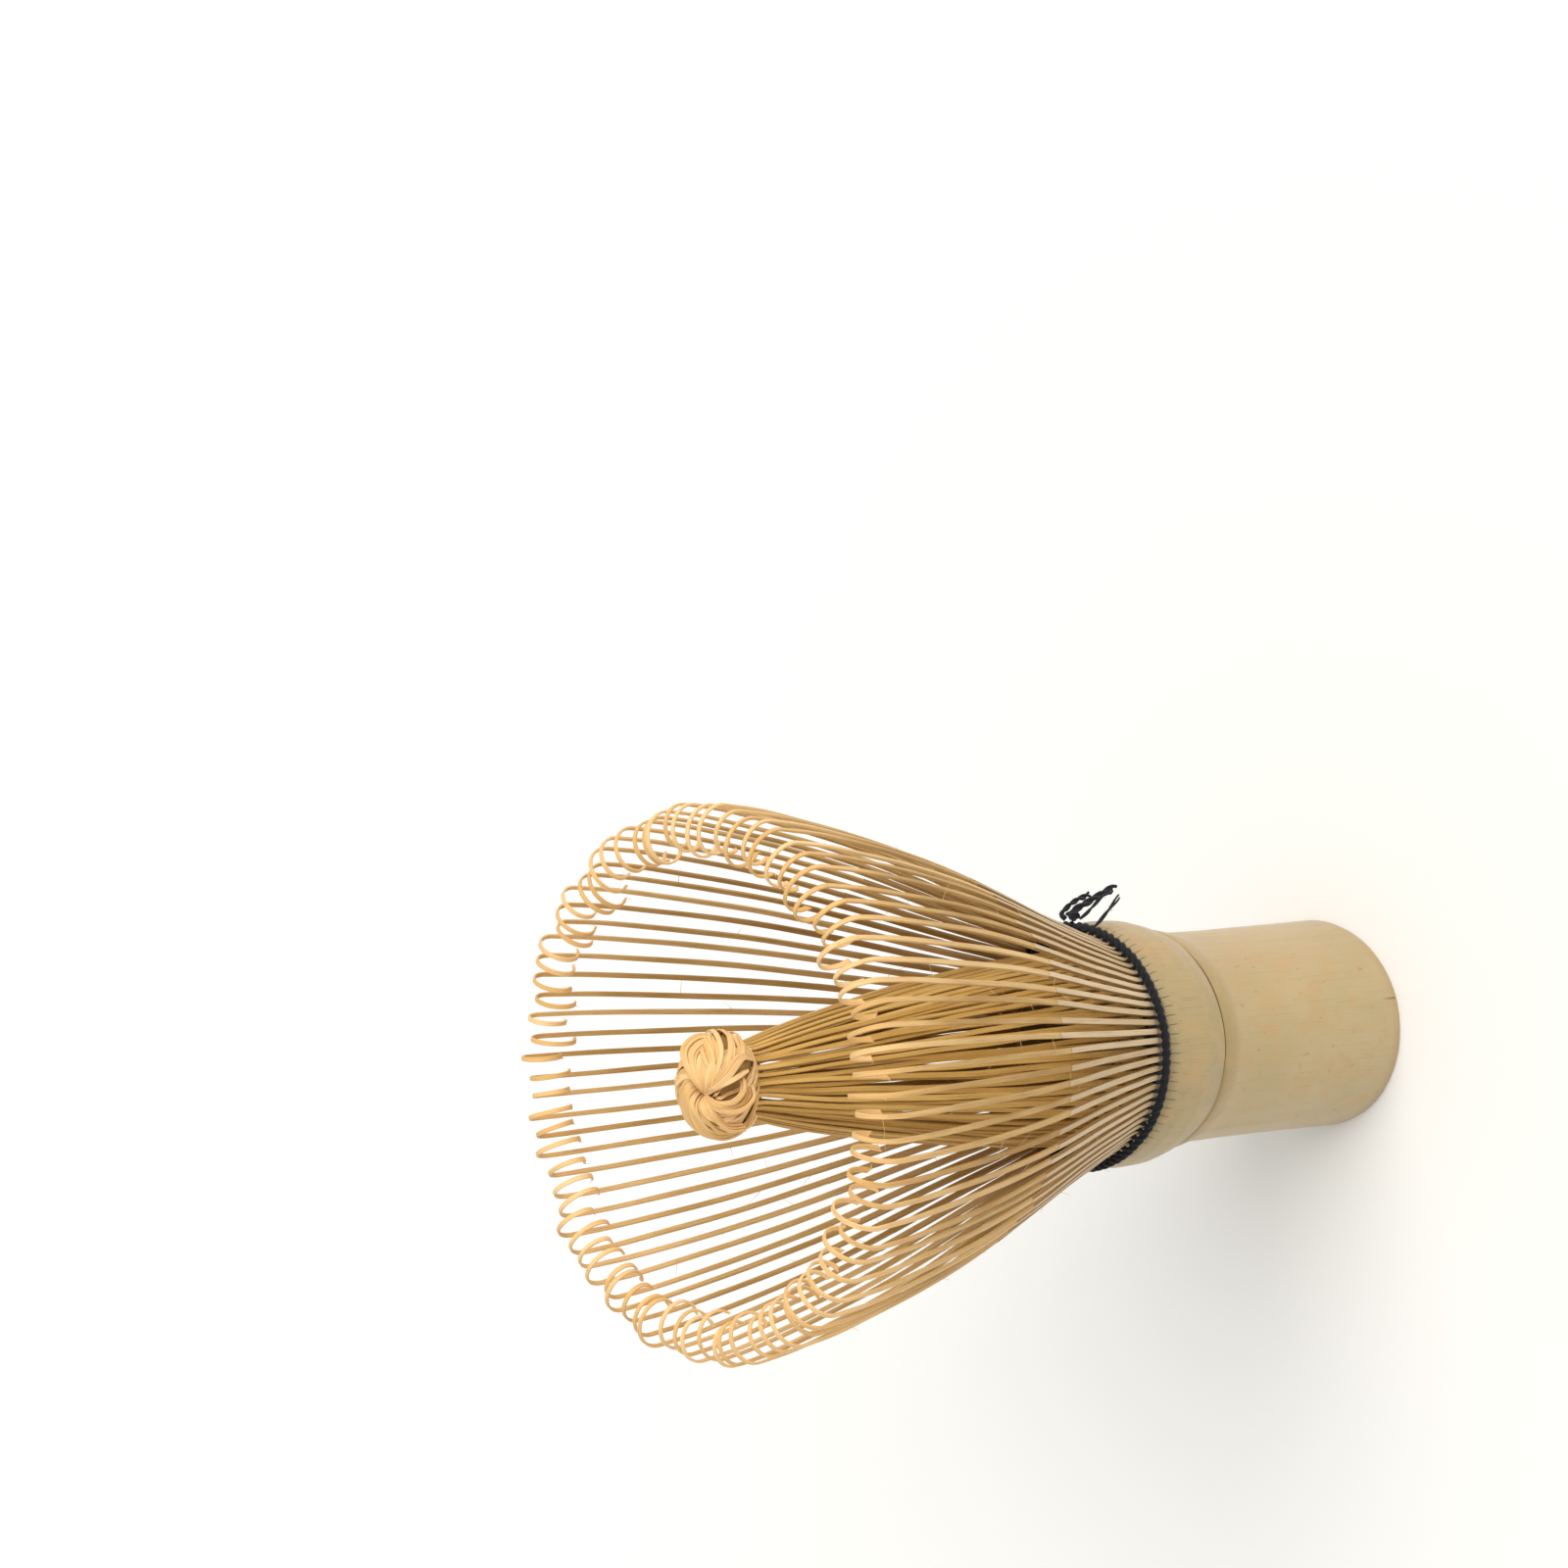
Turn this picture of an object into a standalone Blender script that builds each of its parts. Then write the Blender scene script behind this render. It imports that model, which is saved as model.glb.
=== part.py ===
"""Bamboo tea whisk, standing on its handle end, with its tips up.

One culm of bamboo is split at the collar into sixteen strips. Each strip is cut into five outer
tines, which flare and curl in at their tips, and five inner tines, which lean in and end in a
twisted knot. A black cotton thread binds the tines at the collar. Metres, +Z along the axis.
"""

import math
import random

import bmesh
import bpy
import numpy as np
from mathutils import Matrix, Vector

MM = 0.001

# Splits and tines
SPLIT_COUNT = 16
TINES_PER_SPLIT = 5
TINE_COUNT = SPLIT_COUNT * TINES_PER_SPLIT
SPLIT_ANGLE = math.tau / SPLIT_COUNT
TINE_ANGLE = math.tau / TINE_COUNT
PIECE_GAP = 0.3 * MM
VARIATION_SEED = 11

# Culm: handle, node and collar, as (height, radius) rows from the collar's top edge down
CULM_OUTSIDE = [
    (40.30, 12.70),
    (39.70, 13.15),
    (37.80, 13.45),
    (35.20, 13.40),
    (33.20, 13.00),
    (31.90, 12.55),
    (31.30, 12.32),
    (31.05, 12.05),
    (30.85, 12.05),
    (30.60, 12.28),
    (29.40, 12.20),
    (28.20, 11.90),
    (26.00, 11.68),
    (20.00, 11.65),
    (10.00, 11.80),
    (0.50, 12.00),
    (0.12, 11.90),
    (0.00, 11.60),
]
BORE_RADIUS = 9.0 * MM
BORE_MOUTH_CHAMFER = 0.5 * MM
BORE_DEPTH = 28.6 * MM
NODE_WALL_TOP = 31.0 * MM
CUP_RADIUS = 9.5 * MM
COLLAR_TOP = CULM_OUTSIDE[0][0] * MM
CULM_STEPS = 40

# Outer tines: the middle line as (height, radius) rows, then a curl at the tip
OUTER_LINE = [
    (40.60, 12.05),
    (41.65, 12.20),
    (47.50, 14.05),
    (53.60, 16.20),
    (59.60, 18.45),
    (65.60, 20.60),
    (71.60, 22.50),
    (77.60, 24.10),
    (84.00, 25.55),
    (90.00, 26.75),
    (93.65, 27.20),
]
ROOT_STRIP_TOP = 41.0 * MM
ROOT_STRIP_INNER = 11.80 * MM
ROOT_STRIP_OUTER = 12.40 * MM
TINE_WIDTH_ROWS = [(0.0, 0.62), (0.10, 0.64), (0.45, 0.64), (0.80, 0.54), (1.0, 0.58)]
TINE_THICKNESS_ROWS = [(0.0, 0.50), (0.10, 0.46), (0.45, 0.34), (0.80, 0.24), (1.0, 0.22)]
CURL_RADIUS = 2.15 * MM
CURL_TURN = math.radians(245)
CURL_FINE_STEPS = 48
LINE_FINE_STEPS = 96
STRAIGHT_SEGMENTS = 4
CURL_SEGMENTS = 6

# Inner tines: the middle line of a strip, as (height, radius) rows
INNER_LINE = [
    (40.60, 10.45),
    (48.00, 10.05),
    (56.00, 9.35),
    (64.00, 8.35),
    (72.00, 7.10),
    (79.00, 5.80),
    (84.00, 4.75),
    (89.00, 3.50),
]
INNER_THICKNESS = 0.55 * MM
INNER_SLIT_WIDTH = 0.20 * MM
INNER_SLIT_DEPTH = 3.0 * MM
INNER_SLIT_BOTTOM = 43.2 * MM
INNER_SLIT_TOP = 70.0 * MM

# Knot of twisted inner tips, as (height, radius) rows that end down in its hole
KNOT_ROWS = [
    (89.35, 3.40),
    (90.20, 3.90),
    (91.40, 4.50),
    (92.80, 4.80),
    (94.20, 4.70),
    (95.50, 4.00),
    (96.40, 2.90),
    (96.70, 1.90),
    (95.90, 1.10),
    (94.50, 0.70),
]
KNOT_HOLE_BOTTOM = 94.2
KNOT_STRETCH_X = 1.06
KNOT_STRETCH_Y = 0.90
KNOT_TILT = math.radians(20)
KNOT_TILT_SPAN = 2.65
KNOT_STRANDS = 12
KNOT_STEPS_PER_STRAND = 4
KNOT_RIDGE = 0.30
KNOT_TWIST = math.radians(-150)

# Cotton thread
THREAD_HEIGHT = 41.65 * MM
OUTER_WRAP_RADIUS = 13.16 * MM
OUTER_WRAP_THICKNESS = 0.86 * MM
INNER_WRAP_HEIGHT = 42.35 * MM
INNER_WRAP_RADIUS = 11.42 * MM
INNER_WRAP_THICKNESS = 0.56 * MM
WRAP_STEPS = 40
WRAP_SIDES = 6
TIE_KNOT_SIZE = (0.45, 0.90, 0.60)
TIE_KNOT_RADIUS = 14.20 * MM
TAIL_THICKNESS = [0.60, 0.85, 0.30, 0.35]
TAIL_POINTS = [
    [(14.10, 1.45, 42.30), (14.90, 1.50, 41.20), (15.80, 1.50, 39.50), (16.30, 1.50, 37.30)],
    [(15.15, 0.20, 41.10), (15.20, 0.10, 40.20), (16.10, 0.10, 37.90), (17.00, 0.20, 34.90)],
    [(14.20, -1.20, 41.00), (15.10, -0.85, 39.60), (16.00, -0.80, 38.20), (16.90, -0.80, 36.20)],
    [(13.50, -3.30, 41.30), (14.40, -3.30, 40.20), (15.20, -3.30, 39.20), (16.30, -3.20, 37.80)],
]


def clear_scene():
    for obj in list(bpy.data.objects):
        bpy.data.objects.remove(obj, do_unlink=True)


def make_collection(name, hidden):
    collection = bpy.data.collections.new(name)
    bpy.context.scene.collection.children.link(collection)
    collection.hide_render = hidden
    return collection


def make_material(name, colour, roughness):
    material = bpy.data.materials.new(name)
    material.use_nodes = True
    shader = material.node_tree.nodes["Principled BSDF"]
    shader.inputs["Base Color"].default_value = (*colour, 1.0)
    shader.inputs["Roughness"].default_value = roughness
    material.diffuse_color = (*colour, 1.0)
    return material


def add_mesh_object(name, mesh_data, collection, material=None):
    mesh = bpy.data.meshes.new(name)
    mesh.from_pydata(*mesh_data)
    mesh.validate()
    face_mesh = bmesh.new()
    face_mesh.from_mesh(mesh)
    bmesh.ops.recalc_face_normals(face_mesh, faces=face_mesh.faces)
    face_mesh.to_mesh(mesh)
    face_mesh.free()
    obj = bpy.data.objects.new(name, mesh)
    collection.objects.link(obj)
    if material:
        mesh.materials.append(material)
    return obj


def smooth_shade(obj, degrees):
    for polygon in obj.data.polygons:
        polygon.use_smooth = True
    obj.data.set_sharp_from_angle(angle=math.radians(degrees))


def add_boolean(obj, operation, other):
    other.hide_render = True
    other.display_type = "WIRE"
    boolean = obj.modifiers.new(operation.lower(), "BOOLEAN")
    boolean.operation = operation
    boolean.object = other
    boolean.solver = "EXACT"


def place_origin(obj, point):
    obj.data.transform(Matrix.Translation(-point))
    obj.location = point


def smooth_value(rows, place):
    """The value at a place on the smooth curve through (place, value) rows."""
    places = [row[0] for row in rows]
    values = [row[1] for row in rows]
    slopes = np.gradient(values, places)
    last = len(rows) - 2
    i = min(max(int(np.searchsorted(places, place)) - 1, 0), last)
    span = places[i + 1] - places[i]
    t = (place - places[i]) / span
    start = (2 * t**3 - 3 * t**2 + 1) * values[i] + (t**3 - 2 * t**2 + t) * slopes[i] * span
    end = (3 * t**2 - 2 * t**3) * values[i + 1] + (t**3 - t**2) * slopes[i + 1] * span
    return float(start + end)


def polar(radius, angle, height):
    return Vector((radius * math.cos(angle), radius * math.sin(angle), height))


def bar_faces(section_count, first=0):
    """Faces of a four-sided bar through sections of four corners each."""
    faces = []
    for i in range(section_count - 1):
        for side in range(4):
            a = first + 4 * i + side
            b = first + 4 * i + (side + 1) % 4
            faces.append((a, b, b + 4, a + 4))
    end = first + 4 * (section_count - 1)
    faces.append((first + 3, first + 2, first + 1, first))
    faces.append((end, end + 1, end + 2, end + 3))
    return faces


def bars_mesh(bars):
    """Points and faces of separate bars, each a list of four-corner sections."""
    points = []
    faces = []
    for sections in bars:
        faces += bar_faces(len(sections), len(points))
        for corners in sections:
            points += corners
    return points, [], faces


def section_corners(point, across, outward, width, thickness):
    side = across * (width / 2)
    out = outward * (thickness / 2)
    return [point - side - out, point + side - out, point + side + out, point - side + out]


def tine_variations():
    """How each outer tine differs from the even pattern, the same at every run."""
    chance = random.Random(VARIATION_SEED)
    ways = []
    for index in range(TINE_COUNT):
        angle = (index + 0.5) * TINE_ANGLE
        lean = math.radians(13 * math.sin(2 * angle + 0.8) + chance.uniform(-4.5, 4.5))
        ways.append(
            {
                "angle": angle,
                "drift": chance.uniform(-0.18, 0.18) * MM,
                "rise": chance.uniform(-0.9, 0.5) * MM,
                "spread": chance.uniform(-0.30, 0.25) * MM,
                "curl": CURL_RADIUS * chance.uniform(0.90, 1.12),
                "turn": CURL_TURN * chance.uniform(0.90, 1.10),
                "lean": lean,
            }
        )
    return ways


def tine_line(way):
    """Middle line of one outer tine below its curl, as points from root to curl."""
    bottom = OUTER_LINE[0][0] * MM
    top = OUTER_LINE[-1][0] * MM + way["rise"]
    points = []
    for step in range(LINE_FINE_STEPS + 1):
        share = step / LINE_FINE_STEPS
        height = bottom + (top - bottom) * share
        easing = share * share * (3 - 2 * share)
        radius = smooth_value(OUTER_LINE, height / MM) * MM + way["spread"] * easing
        points.append(polar(radius, way["angle"] + way["drift"] * easing / radius, height))
    return points


def tine_frames(way):
    """Point, direction across and direction outward at fine steps along one outer tine."""
    points = tine_line(way)
    across = Vector((-math.sin(way["angle"]), math.cos(way["angle"]), 0))
    frames = []
    for i, point in enumerate(points):
        along = (points[min(i + 1, LINE_FINE_STEPS)] - points[max(i - 1, 0)]).normalized()
        outward = across.cross(along).normalized()
        frames.append((point, across, outward))
    point, across, outward = frames[-1]
    turn = way["turn"] / CURL_FINE_STEPS
    roll = way["lean"] / CURL_FINE_STEPS
    for step in range(CURL_FINE_STEPS):
        radius = way["curl"] * (1.22 - 0.42 * step / CURL_FINE_STEPS)
        point = point + along * radius * turn
        along, outward = (
            along * math.cos(turn) - outward * math.sin(turn),
            outward * math.cos(turn) + along * math.sin(turn),
        )
        across, outward = (
            across * math.cos(roll) + outward * math.sin(roll),
            outward * math.cos(roll) - across * math.sin(roll),
        )
        frames.append((point, across, outward))
    return frames


def tine_sections(way):
    """Rectangular sections of one outer tine, at the steps that its shape needs."""
    frames = tine_frames(way)
    line_steps = np.linspace(0, LINE_FINE_STEPS, STRAIGHT_SEGMENTS + 1)
    curl_steps = np.linspace(LINE_FINE_STEPS, LINE_FINE_STEPS + CURL_FINE_STEPS, CURL_SEGMENTS + 1)
    sections = []
    for step in [*line_steps, *curl_steps[1:]]:
        point, across, outward = frames[int(round(step))]
        share = step / (LINE_FINE_STEPS + CURL_FINE_STEPS)
        width = smooth_value(TINE_WIDTH_ROWS, share) * MM
        thickness = smooth_value(TINE_THICKNESS_ROWS, share) * MM
        sections.append(section_corners(point, across, outward, width, thickness))
    return sections


def ring_strip(inner, outer, bottom, top, middle_angle, half_angle, steps):
    """A piece of a flat ring, as the sections of one bar that runs round the axis."""
    sections = []
    for step in range(steps + 1):
        angle = middle_angle + half_angle * (2 * step / steps - 1)
        corners = [(inner, bottom), (outer, bottom), (outer, top), (inner, top)]
        sections.append([polar(radius, angle, height) for radius, height in corners])
    return sections


def build_culm(collection, material):
    """Handle, node wall and collar in one turned piece, open at the bottom and at the top."""
    rows = [(0.0, NODE_WALL_TOP), (CUP_RADIUS - 0.8 * MM, NODE_WALL_TOP)]
    rows += [(CUP_RADIUS, NODE_WALL_TOP + 0.8 * MM), (CUP_RADIUS, COLLAR_TOP)]
    rows += [(radius * MM, height * MM) for height, radius in CULM_OUTSIDE]
    rows += [(BORE_RADIUS + BORE_MOUTH_CHAMFER, 0.0), (BORE_RADIUS, BORE_MOUTH_CHAMFER)]
    rows += [(BORE_RADIUS, BORE_DEPTH - 0.8 * MM), (BORE_RADIUS - 0.8 * MM, BORE_DEPTH)]
    rows += [(0.0, BORE_DEPTH)]
    points = [(radius, 0.0, height) for radius, height in rows]
    edges = [(i, i + 1) for i in range(len(points) - 1)]
    mesh = bpy.data.meshes.new("handle_culm")
    mesh.from_pydata(points, edges, [])
    culm = bpy.data.objects.new("handle_culm", mesh)
    collection.objects.link(culm)
    mesh.materials.append(material)
    screw = culm.modifiers.new("turn", "SCREW")
    screw.axis = "Z"
    screw.steps = CULM_STEPS
    screw.render_steps = CULM_STEPS
    screw.use_merge_vertices = True
    screw.merge_threshold = 0.00001
    screw.use_smooth_shade = True
    return culm


def build_outer_split(number, ways, collection, cutters, material):
    """Five outer tines on one short root strip, hinged at the thread's height."""
    name = f"outer_tines_{number + 1:02d}"
    middle = (number + 0.5) * SPLIT_ANGLE
    half = SPLIT_ANGLE / 2 - PIECE_GAP / (2 * ROOT_STRIP_INNER)
    root_bottom = COLLAR_TOP + PIECE_GAP
    root = (ROOT_STRIP_INNER, ROOT_STRIP_OUTER, root_bottom, ROOT_STRIP_TOP)
    strip = ring_strip(*root, middle, half, 4)
    split = add_mesh_object(name, bars_mesh([strip]), collection, material)
    first = number * TINES_PER_SPLIT
    tines = [tine_sections(way) for way in ways[first : first + TINES_PER_SPLIT]]
    bars = add_mesh_object(f"{name}_bars", bars_mesh(tines), cutters, material)
    add_boolean(split, "UNION", bars)
    hinge_radius = smooth_value(OUTER_LINE, THREAD_HEIGHT / MM) * MM
    place_origin(split, polar(hinge_radius, middle, THREAD_HEIGHT))
    return split


def inner_width(radius):
    return math.tau * (radius - INNER_THICKNESS / 2) / SPLIT_COUNT - PIECE_GAP


def inner_frame(middle, height):
    """Radius, point and outward direction of a split's inner strip at one height."""
    radius = smooth_value(INNER_LINE, height / MM) * MM
    below = smooth_value(INNER_LINE, (height - MM) / MM) * MM
    along = polar(radius, middle, height) - polar(below, middle, height - MM)
    across = Vector((-math.sin(middle), math.cos(middle), 0))
    return radius, polar(radius, middle, height), across, across.cross(along).normalized()


def build_inner_split(number, collection, cutters, material):
    """One split's inner strip, slit into five tines over most of its length."""
    name = f"inner_tines_{number + 1:02d}"
    middle = (number + 0.5) * SPLIT_ANGLE
    blade = []
    for height, _ in INNER_LINE:
        radius, point, across, outward = inner_frame(middle, height * MM)
        size = (inner_width(radius), INNER_THICKNESS)
        blade.append(section_corners(point, across, outward, *size))
    slits = []
    for place in (-0.3, -0.1, 0.1, 0.3):
        slit = []
        for height in (INNER_SLIT_BOTTOM, INNER_SLIT_TOP):
            radius, point, across, outward = inner_frame(middle, height)
            centre = point + across * (place * inner_width(radius))
            size = (INNER_SLIT_WIDTH, INNER_SLIT_DEPTH)
            slit.append(section_corners(centre, across, outward, *size))
        slits.append(slit)
    split = add_mesh_object(name, bars_mesh([blade]), collection, material)
    cutter = add_mesh_object(f"{name}_slits", bars_mesh(slits), cutters)
    add_boolean(split, "DIFFERENCE", cutter)
    return split


def knot_point(radius, angle, height):
    """A point of the knot, which is longer along X and leans towards -Y above its neck."""
    rise = height - KNOT_ROWS[0][0]
    share = min(rise / KNOT_TILT_SPAN, 1.0)
    tilt = KNOT_TILT * share * share * (3 - 2 * share)
    x = radius * math.cos(angle) * KNOT_STRETCH_X
    y = radius * math.sin(angle) * KNOT_STRETCH_Y
    leant = y * math.cos(tilt) - rise * math.sin(tilt)
    raised = KNOT_ROWS[0][0] + rise * math.cos(tilt) + y * math.sin(tilt)
    return Vector((x, leant, raised)) * MM


def build_tip_knot(collection, material):
    """The inner tips' knot: a bun of twisted strands with a hole at its leaning top."""
    around = KNOT_STRANDS * KNOT_STEPS_PER_STRAND
    points = []
    for row, (height, radius) in enumerate(KNOT_ROWS):
        twist = KNOT_TWIST * row / len(KNOT_ROWS)
        ridge = KNOT_RIDGE * min(1.0, radius / 3.5)
        for step in range(around):
            angle = math.tau * step / around
            bump = ridge * math.cos(KNOT_STRANDS * angle)
            points.append(knot_point(radius + bump, angle + twist, height))
    faces = []
    for row in range(len(KNOT_ROWS) - 1):
        for step in range(around):
            a = row * around + step
            b = row * around + (step + 1) % around
            faces.append((a, b, b + around, a + around))
    last_row = (len(KNOT_ROWS) - 1) * around
    pit = len(points)
    points.append(knot_point(0.0, 0.0, KNOT_HOLE_BOTTOM))
    faces += [(last_row + step, last_row + (step + 1) % around, pit) for step in range(around)]
    faces.append(tuple(reversed(range(around))))
    knot = add_mesh_object("tip_knot", (points, [], faces), collection, material)
    smooth_shade(knot, 60)
    return knot


def build_wrap(name, height, radius, thickness, collection, material):
    """One turn of thread round the tines."""
    bpy.ops.mesh.primitive_torus_add(
        location=(0, 0, height),
        major_radius=radius,
        minor_radius=thickness / 2,
        major_segments=WRAP_STEPS,
        minor_segments=WRAP_SIDES,
    )
    return adopt_active(name, collection, material)


def adopt_active(name, collection, material):
    """Names the new object and moves it into the given collection."""
    obj = bpy.context.object
    obj.name = name
    obj.data.name = name
    for old in list(obj.users_collection):
        old.objects.unlink(obj)
    collection.objects.link(obj)
    obj.data.materials.append(material)
    smooth_shade(obj, 60)
    return obj


def build_tie_knot(collection, material):
    bpy.ops.mesh.primitive_uv_sphere_add(
        segments=12, ring_count=8, radius=MM, location=(TIE_KNOT_RADIUS, 0, THREAD_HEIGHT)
    )
    knot = adopt_active("thread_tie_knot", collection, material)
    knot.data.transform(Matrix.Diagonal((*TIE_KNOT_SIZE, 1.0)))
    return knot


def build_tail(name, thickness, points, collection, material):
    """One loose end of thread."""
    curve = bpy.data.curves.new(name, "CURVE")
    curve.dimensions = "3D"
    curve.bevel_depth = thickness * MM / 2
    curve.bevel_resolution = 1
    curve.use_fill_caps = True
    curve.resolution_u = 3
    spline = curve.splines.new("BEZIER")
    spline.bezier_points.add(len(points) - 1)
    for bezier, point in zip(spline.bezier_points, points):
        bezier.co = Vector(point) * MM
        bezier.handle_left_type = "AUTO"
        bezier.handle_right_type = "AUTO"
    tail = bpy.data.objects.new(name, curve)
    collection.objects.link(tail)
    curve.materials.append(material)
    return tail


def main():
    clear_scene()
    parts = make_collection("bamboo_tea_whisk", False)
    cutters = make_collection("cutters", True)
    culm_bamboo = make_material("bamboo_culm", (0.62, 0.47, 0.24), 0.45)
    outer_bamboo = make_material("bamboo_outer_tines", (0.76, 0.55, 0.28), 0.5)
    inner_bamboo = make_material("bamboo_inner_tines", (0.60, 0.40, 0.17), 0.55)
    cotton = make_material("black_cotton", (0.02, 0.02, 0.022), 0.9)

    build_culm(parts, culm_bamboo)
    ways = tine_variations()
    for number in range(SPLIT_COUNT):
        build_outer_split(number, ways, parts, cutters, outer_bamboo)
        build_inner_split(number, parts, cutters, inner_bamboo)
    build_tip_knot(parts, outer_bamboo)
    outer_wrap = (THREAD_HEIGHT, OUTER_WRAP_RADIUS, OUTER_WRAP_THICKNESS)
    build_wrap("thread_outer_wrap", *outer_wrap, parts, cotton)
    inner_wrap = (INNER_WRAP_HEIGHT, INNER_WRAP_RADIUS, INNER_WRAP_THICKNESS)
    build_wrap("thread_inner_wrap", *inner_wrap, parts, cotton)
    build_tie_knot(parts, cotton)
    for number, (thickness, points) in enumerate(zip(TAIL_THICKNESS, TAIL_POINTS)):
        build_tail(f"thread_tail_{number + 1}", thickness, points, parts, cotton)


main()
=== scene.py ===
"""Bamboo tea whisk: every visible piece of it, on a pale floor under soft light.

The whisk stands on its handle end, with its tips up. Heights and radii in rows are in millimetres.
"""

import math
import random

import bmesh
import bpy
import numpy as np
from mathutils import Matrix

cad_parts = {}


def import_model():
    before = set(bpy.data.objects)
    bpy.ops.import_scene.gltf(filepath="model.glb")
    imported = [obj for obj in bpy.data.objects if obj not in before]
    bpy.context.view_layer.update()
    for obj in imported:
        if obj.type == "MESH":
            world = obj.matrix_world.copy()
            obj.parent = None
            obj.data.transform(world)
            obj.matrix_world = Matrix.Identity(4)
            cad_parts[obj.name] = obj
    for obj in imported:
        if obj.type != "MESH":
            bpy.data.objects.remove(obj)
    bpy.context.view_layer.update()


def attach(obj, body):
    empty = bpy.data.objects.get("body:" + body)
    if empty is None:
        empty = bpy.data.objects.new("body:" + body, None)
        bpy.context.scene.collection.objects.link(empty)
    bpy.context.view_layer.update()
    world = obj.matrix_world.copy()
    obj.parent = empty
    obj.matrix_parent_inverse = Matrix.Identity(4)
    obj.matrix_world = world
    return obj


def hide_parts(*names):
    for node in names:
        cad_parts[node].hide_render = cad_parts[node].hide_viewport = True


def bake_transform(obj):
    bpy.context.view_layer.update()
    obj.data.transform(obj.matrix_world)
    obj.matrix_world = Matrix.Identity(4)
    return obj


MM = 0.001

# Splits and tines: lines and curls as in the CAD part, widths as they look up close
SPLIT_COUNT = 16
TINES_PER_SPLIT = 5
TINE_COUNT = SPLIT_COUNT * TINES_PER_SPLIT
SPLIT_ANGLE = math.tau / SPLIT_COUNT
TINE_ANGLE = math.tau / TINE_COUNT
VARIATION_SEED = 11
OUTER_LINE = [
    (40.60, 12.05),
    (41.65, 12.20),
    (47.50, 14.05),
    (53.60, 16.20),
    (59.60, 18.45),
    (65.60, 20.60),
    (71.60, 22.50),
    (77.60, 24.10),
    (84.00, 25.55),
    (90.00, 26.75),
    (93.65, 27.20),
]
TINE_WIDTH_ROWS = [(0.0, 0.62), (0.10, 0.64), (0.45, 0.57), (0.80, 0.48), (1.0, 0.54)]
TINE_THICKNESS_ROWS = [(0.0, 0.50), (0.10, 0.46), (0.45, 0.34), (0.80, 0.24), (1.0, 0.22)]
CURL_RADIUS = 2.15
CURL_TURN = math.radians(245)
CURL_STEPS = 48
LINE_STEPS = 96
INNER_LINE = [
    (40.60, 10.45),
    (48.00, 10.05),
    (56.00, 9.35),
    (64.00, 8.35),
    (72.00, 7.10),
    (79.00, 5.80),
    (84.00, 4.75),
    (89.00, 3.50),
]

# Outer tines: what only shows up close
ROOT_BOTTOM = 40.0
SKIN_END = 64.2
SKIN_STEP = 0.035
SKIN_FADE_STEPS = 0.12
LINE_RINGS = 49
CURL_RINGS = 37
EDGE_CHAMFER = 0.05
OUTER_SEED = 700
STRAY_FIBRES = 8
HAIR_SPLIT = 11

# Lengths along a tine from which its cut bamboo turns paler, and where it is palest
PALING_FROM = 40.0
PALEST_FROM = 64.0

# Outer tines: (radius, height) where they start to bend and where they are fully turned
BEND_FROM = (12.2, 42.0)
BEND_TO = (18.6, 60.0)

# Inner tines: their ends run on inside the knot
INNER_TOP = 91.4
INNER_SEED = 900

# Culm: handle, node and collar
COLLAR_TOP = 40.30
CULM_OUTSIDE = [
    (COLLAR_TOP, 12.70),
    (39.70, 13.15),
    (37.80, 13.45),
    (35.20, 13.40),
    (33.20, 13.00),
    (31.90, 12.55),
    (31.30, 12.36),
    (31.12, 12.30),
    (31.00, 12.05),
    (30.86, 12.12),
    (30.60, 12.27),
    (30.10, 12.26),
    (29.40, 12.20),
    (28.20, 11.90),
    (26.00, 11.68),
    (20.00, 11.65),
    (10.00, 11.80),
    (0.50, 12.00),
    (0.12, 11.90),
    (0.00, 11.60),
]
BORE_RADIUS = 9.0
BORE_DEPTH = 28.6
NODE_WALL_TOP = 31.0
CUP_RADIUS = 9.5
CULM_STEPS = 192
CRACK_ANGLE = math.radians(-73)
GROOVE_HEIGHT = 30.98
TICKS_BOTTOM = 38.0
CULM_DARK = (0.22, 0.13, 0.05)
CULM_SEED = 31

# Knot of twisted inner tips
KNOT_ROWS = [
    (88.20, 3.55),
    (89.35, 3.40),
    (90.20, 3.90),
    (91.40, 4.50),
    (92.80, 4.80),
    (94.20, 4.70),
    (95.50, 4.00),
    (96.40, 2.90),
    (96.70, 1.90),
    (95.90, 1.10),
    (94.50, 0.70),
]
KNOT_BOTTOM = 89.35
KNOT_STRETCH_X = 1.06
KNOT_STRETCH_Y = 0.90
KNOT_TILT = math.radians(20)
KNOT_TILT_SPAN = 2.65
KNOT_TWIST = math.radians(-150)
KNOT_RIBBONS = 76
KNOT_CENTRE = (0.0, -0.45, 93.7)
KNOT_FACE_LEAN = math.radians(48)
KNOT_OPENING_ANGLE = math.radians(-86)
KNOT_OPENING_WIDTH = 0.52
KNOT_OPENING_DEPTH = 0.42
KNOT_OPENING_ROW = 6.4
KNOT_OPENING_SPAN = 1.7
KNOT_HOLLOW_DEPTH = 0.28
KNOT_HOLLOW_ROW = 3.2
KNOT_HOLLOW_SPAN = 2.2
KNOT_RING = (2.7, 93.2)
KNOT_CORE_DEPTH = 0.34
KNOT_LAYERS = 4
KNOT_LAYER = 0.11
KNOT_LOWEST_LAYER = -0.06
KNOT_SEED = 1203
RIBBON_THICKNESS = 0.15
RIBBON_CHAMFER = 0.03
RIBBON_ROLL = 0.38
WOUND_STEPS = 44
BOWED_STEPS = 30
SWATH_RIBBONS = 20
CUT_ENDS = 11

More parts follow.
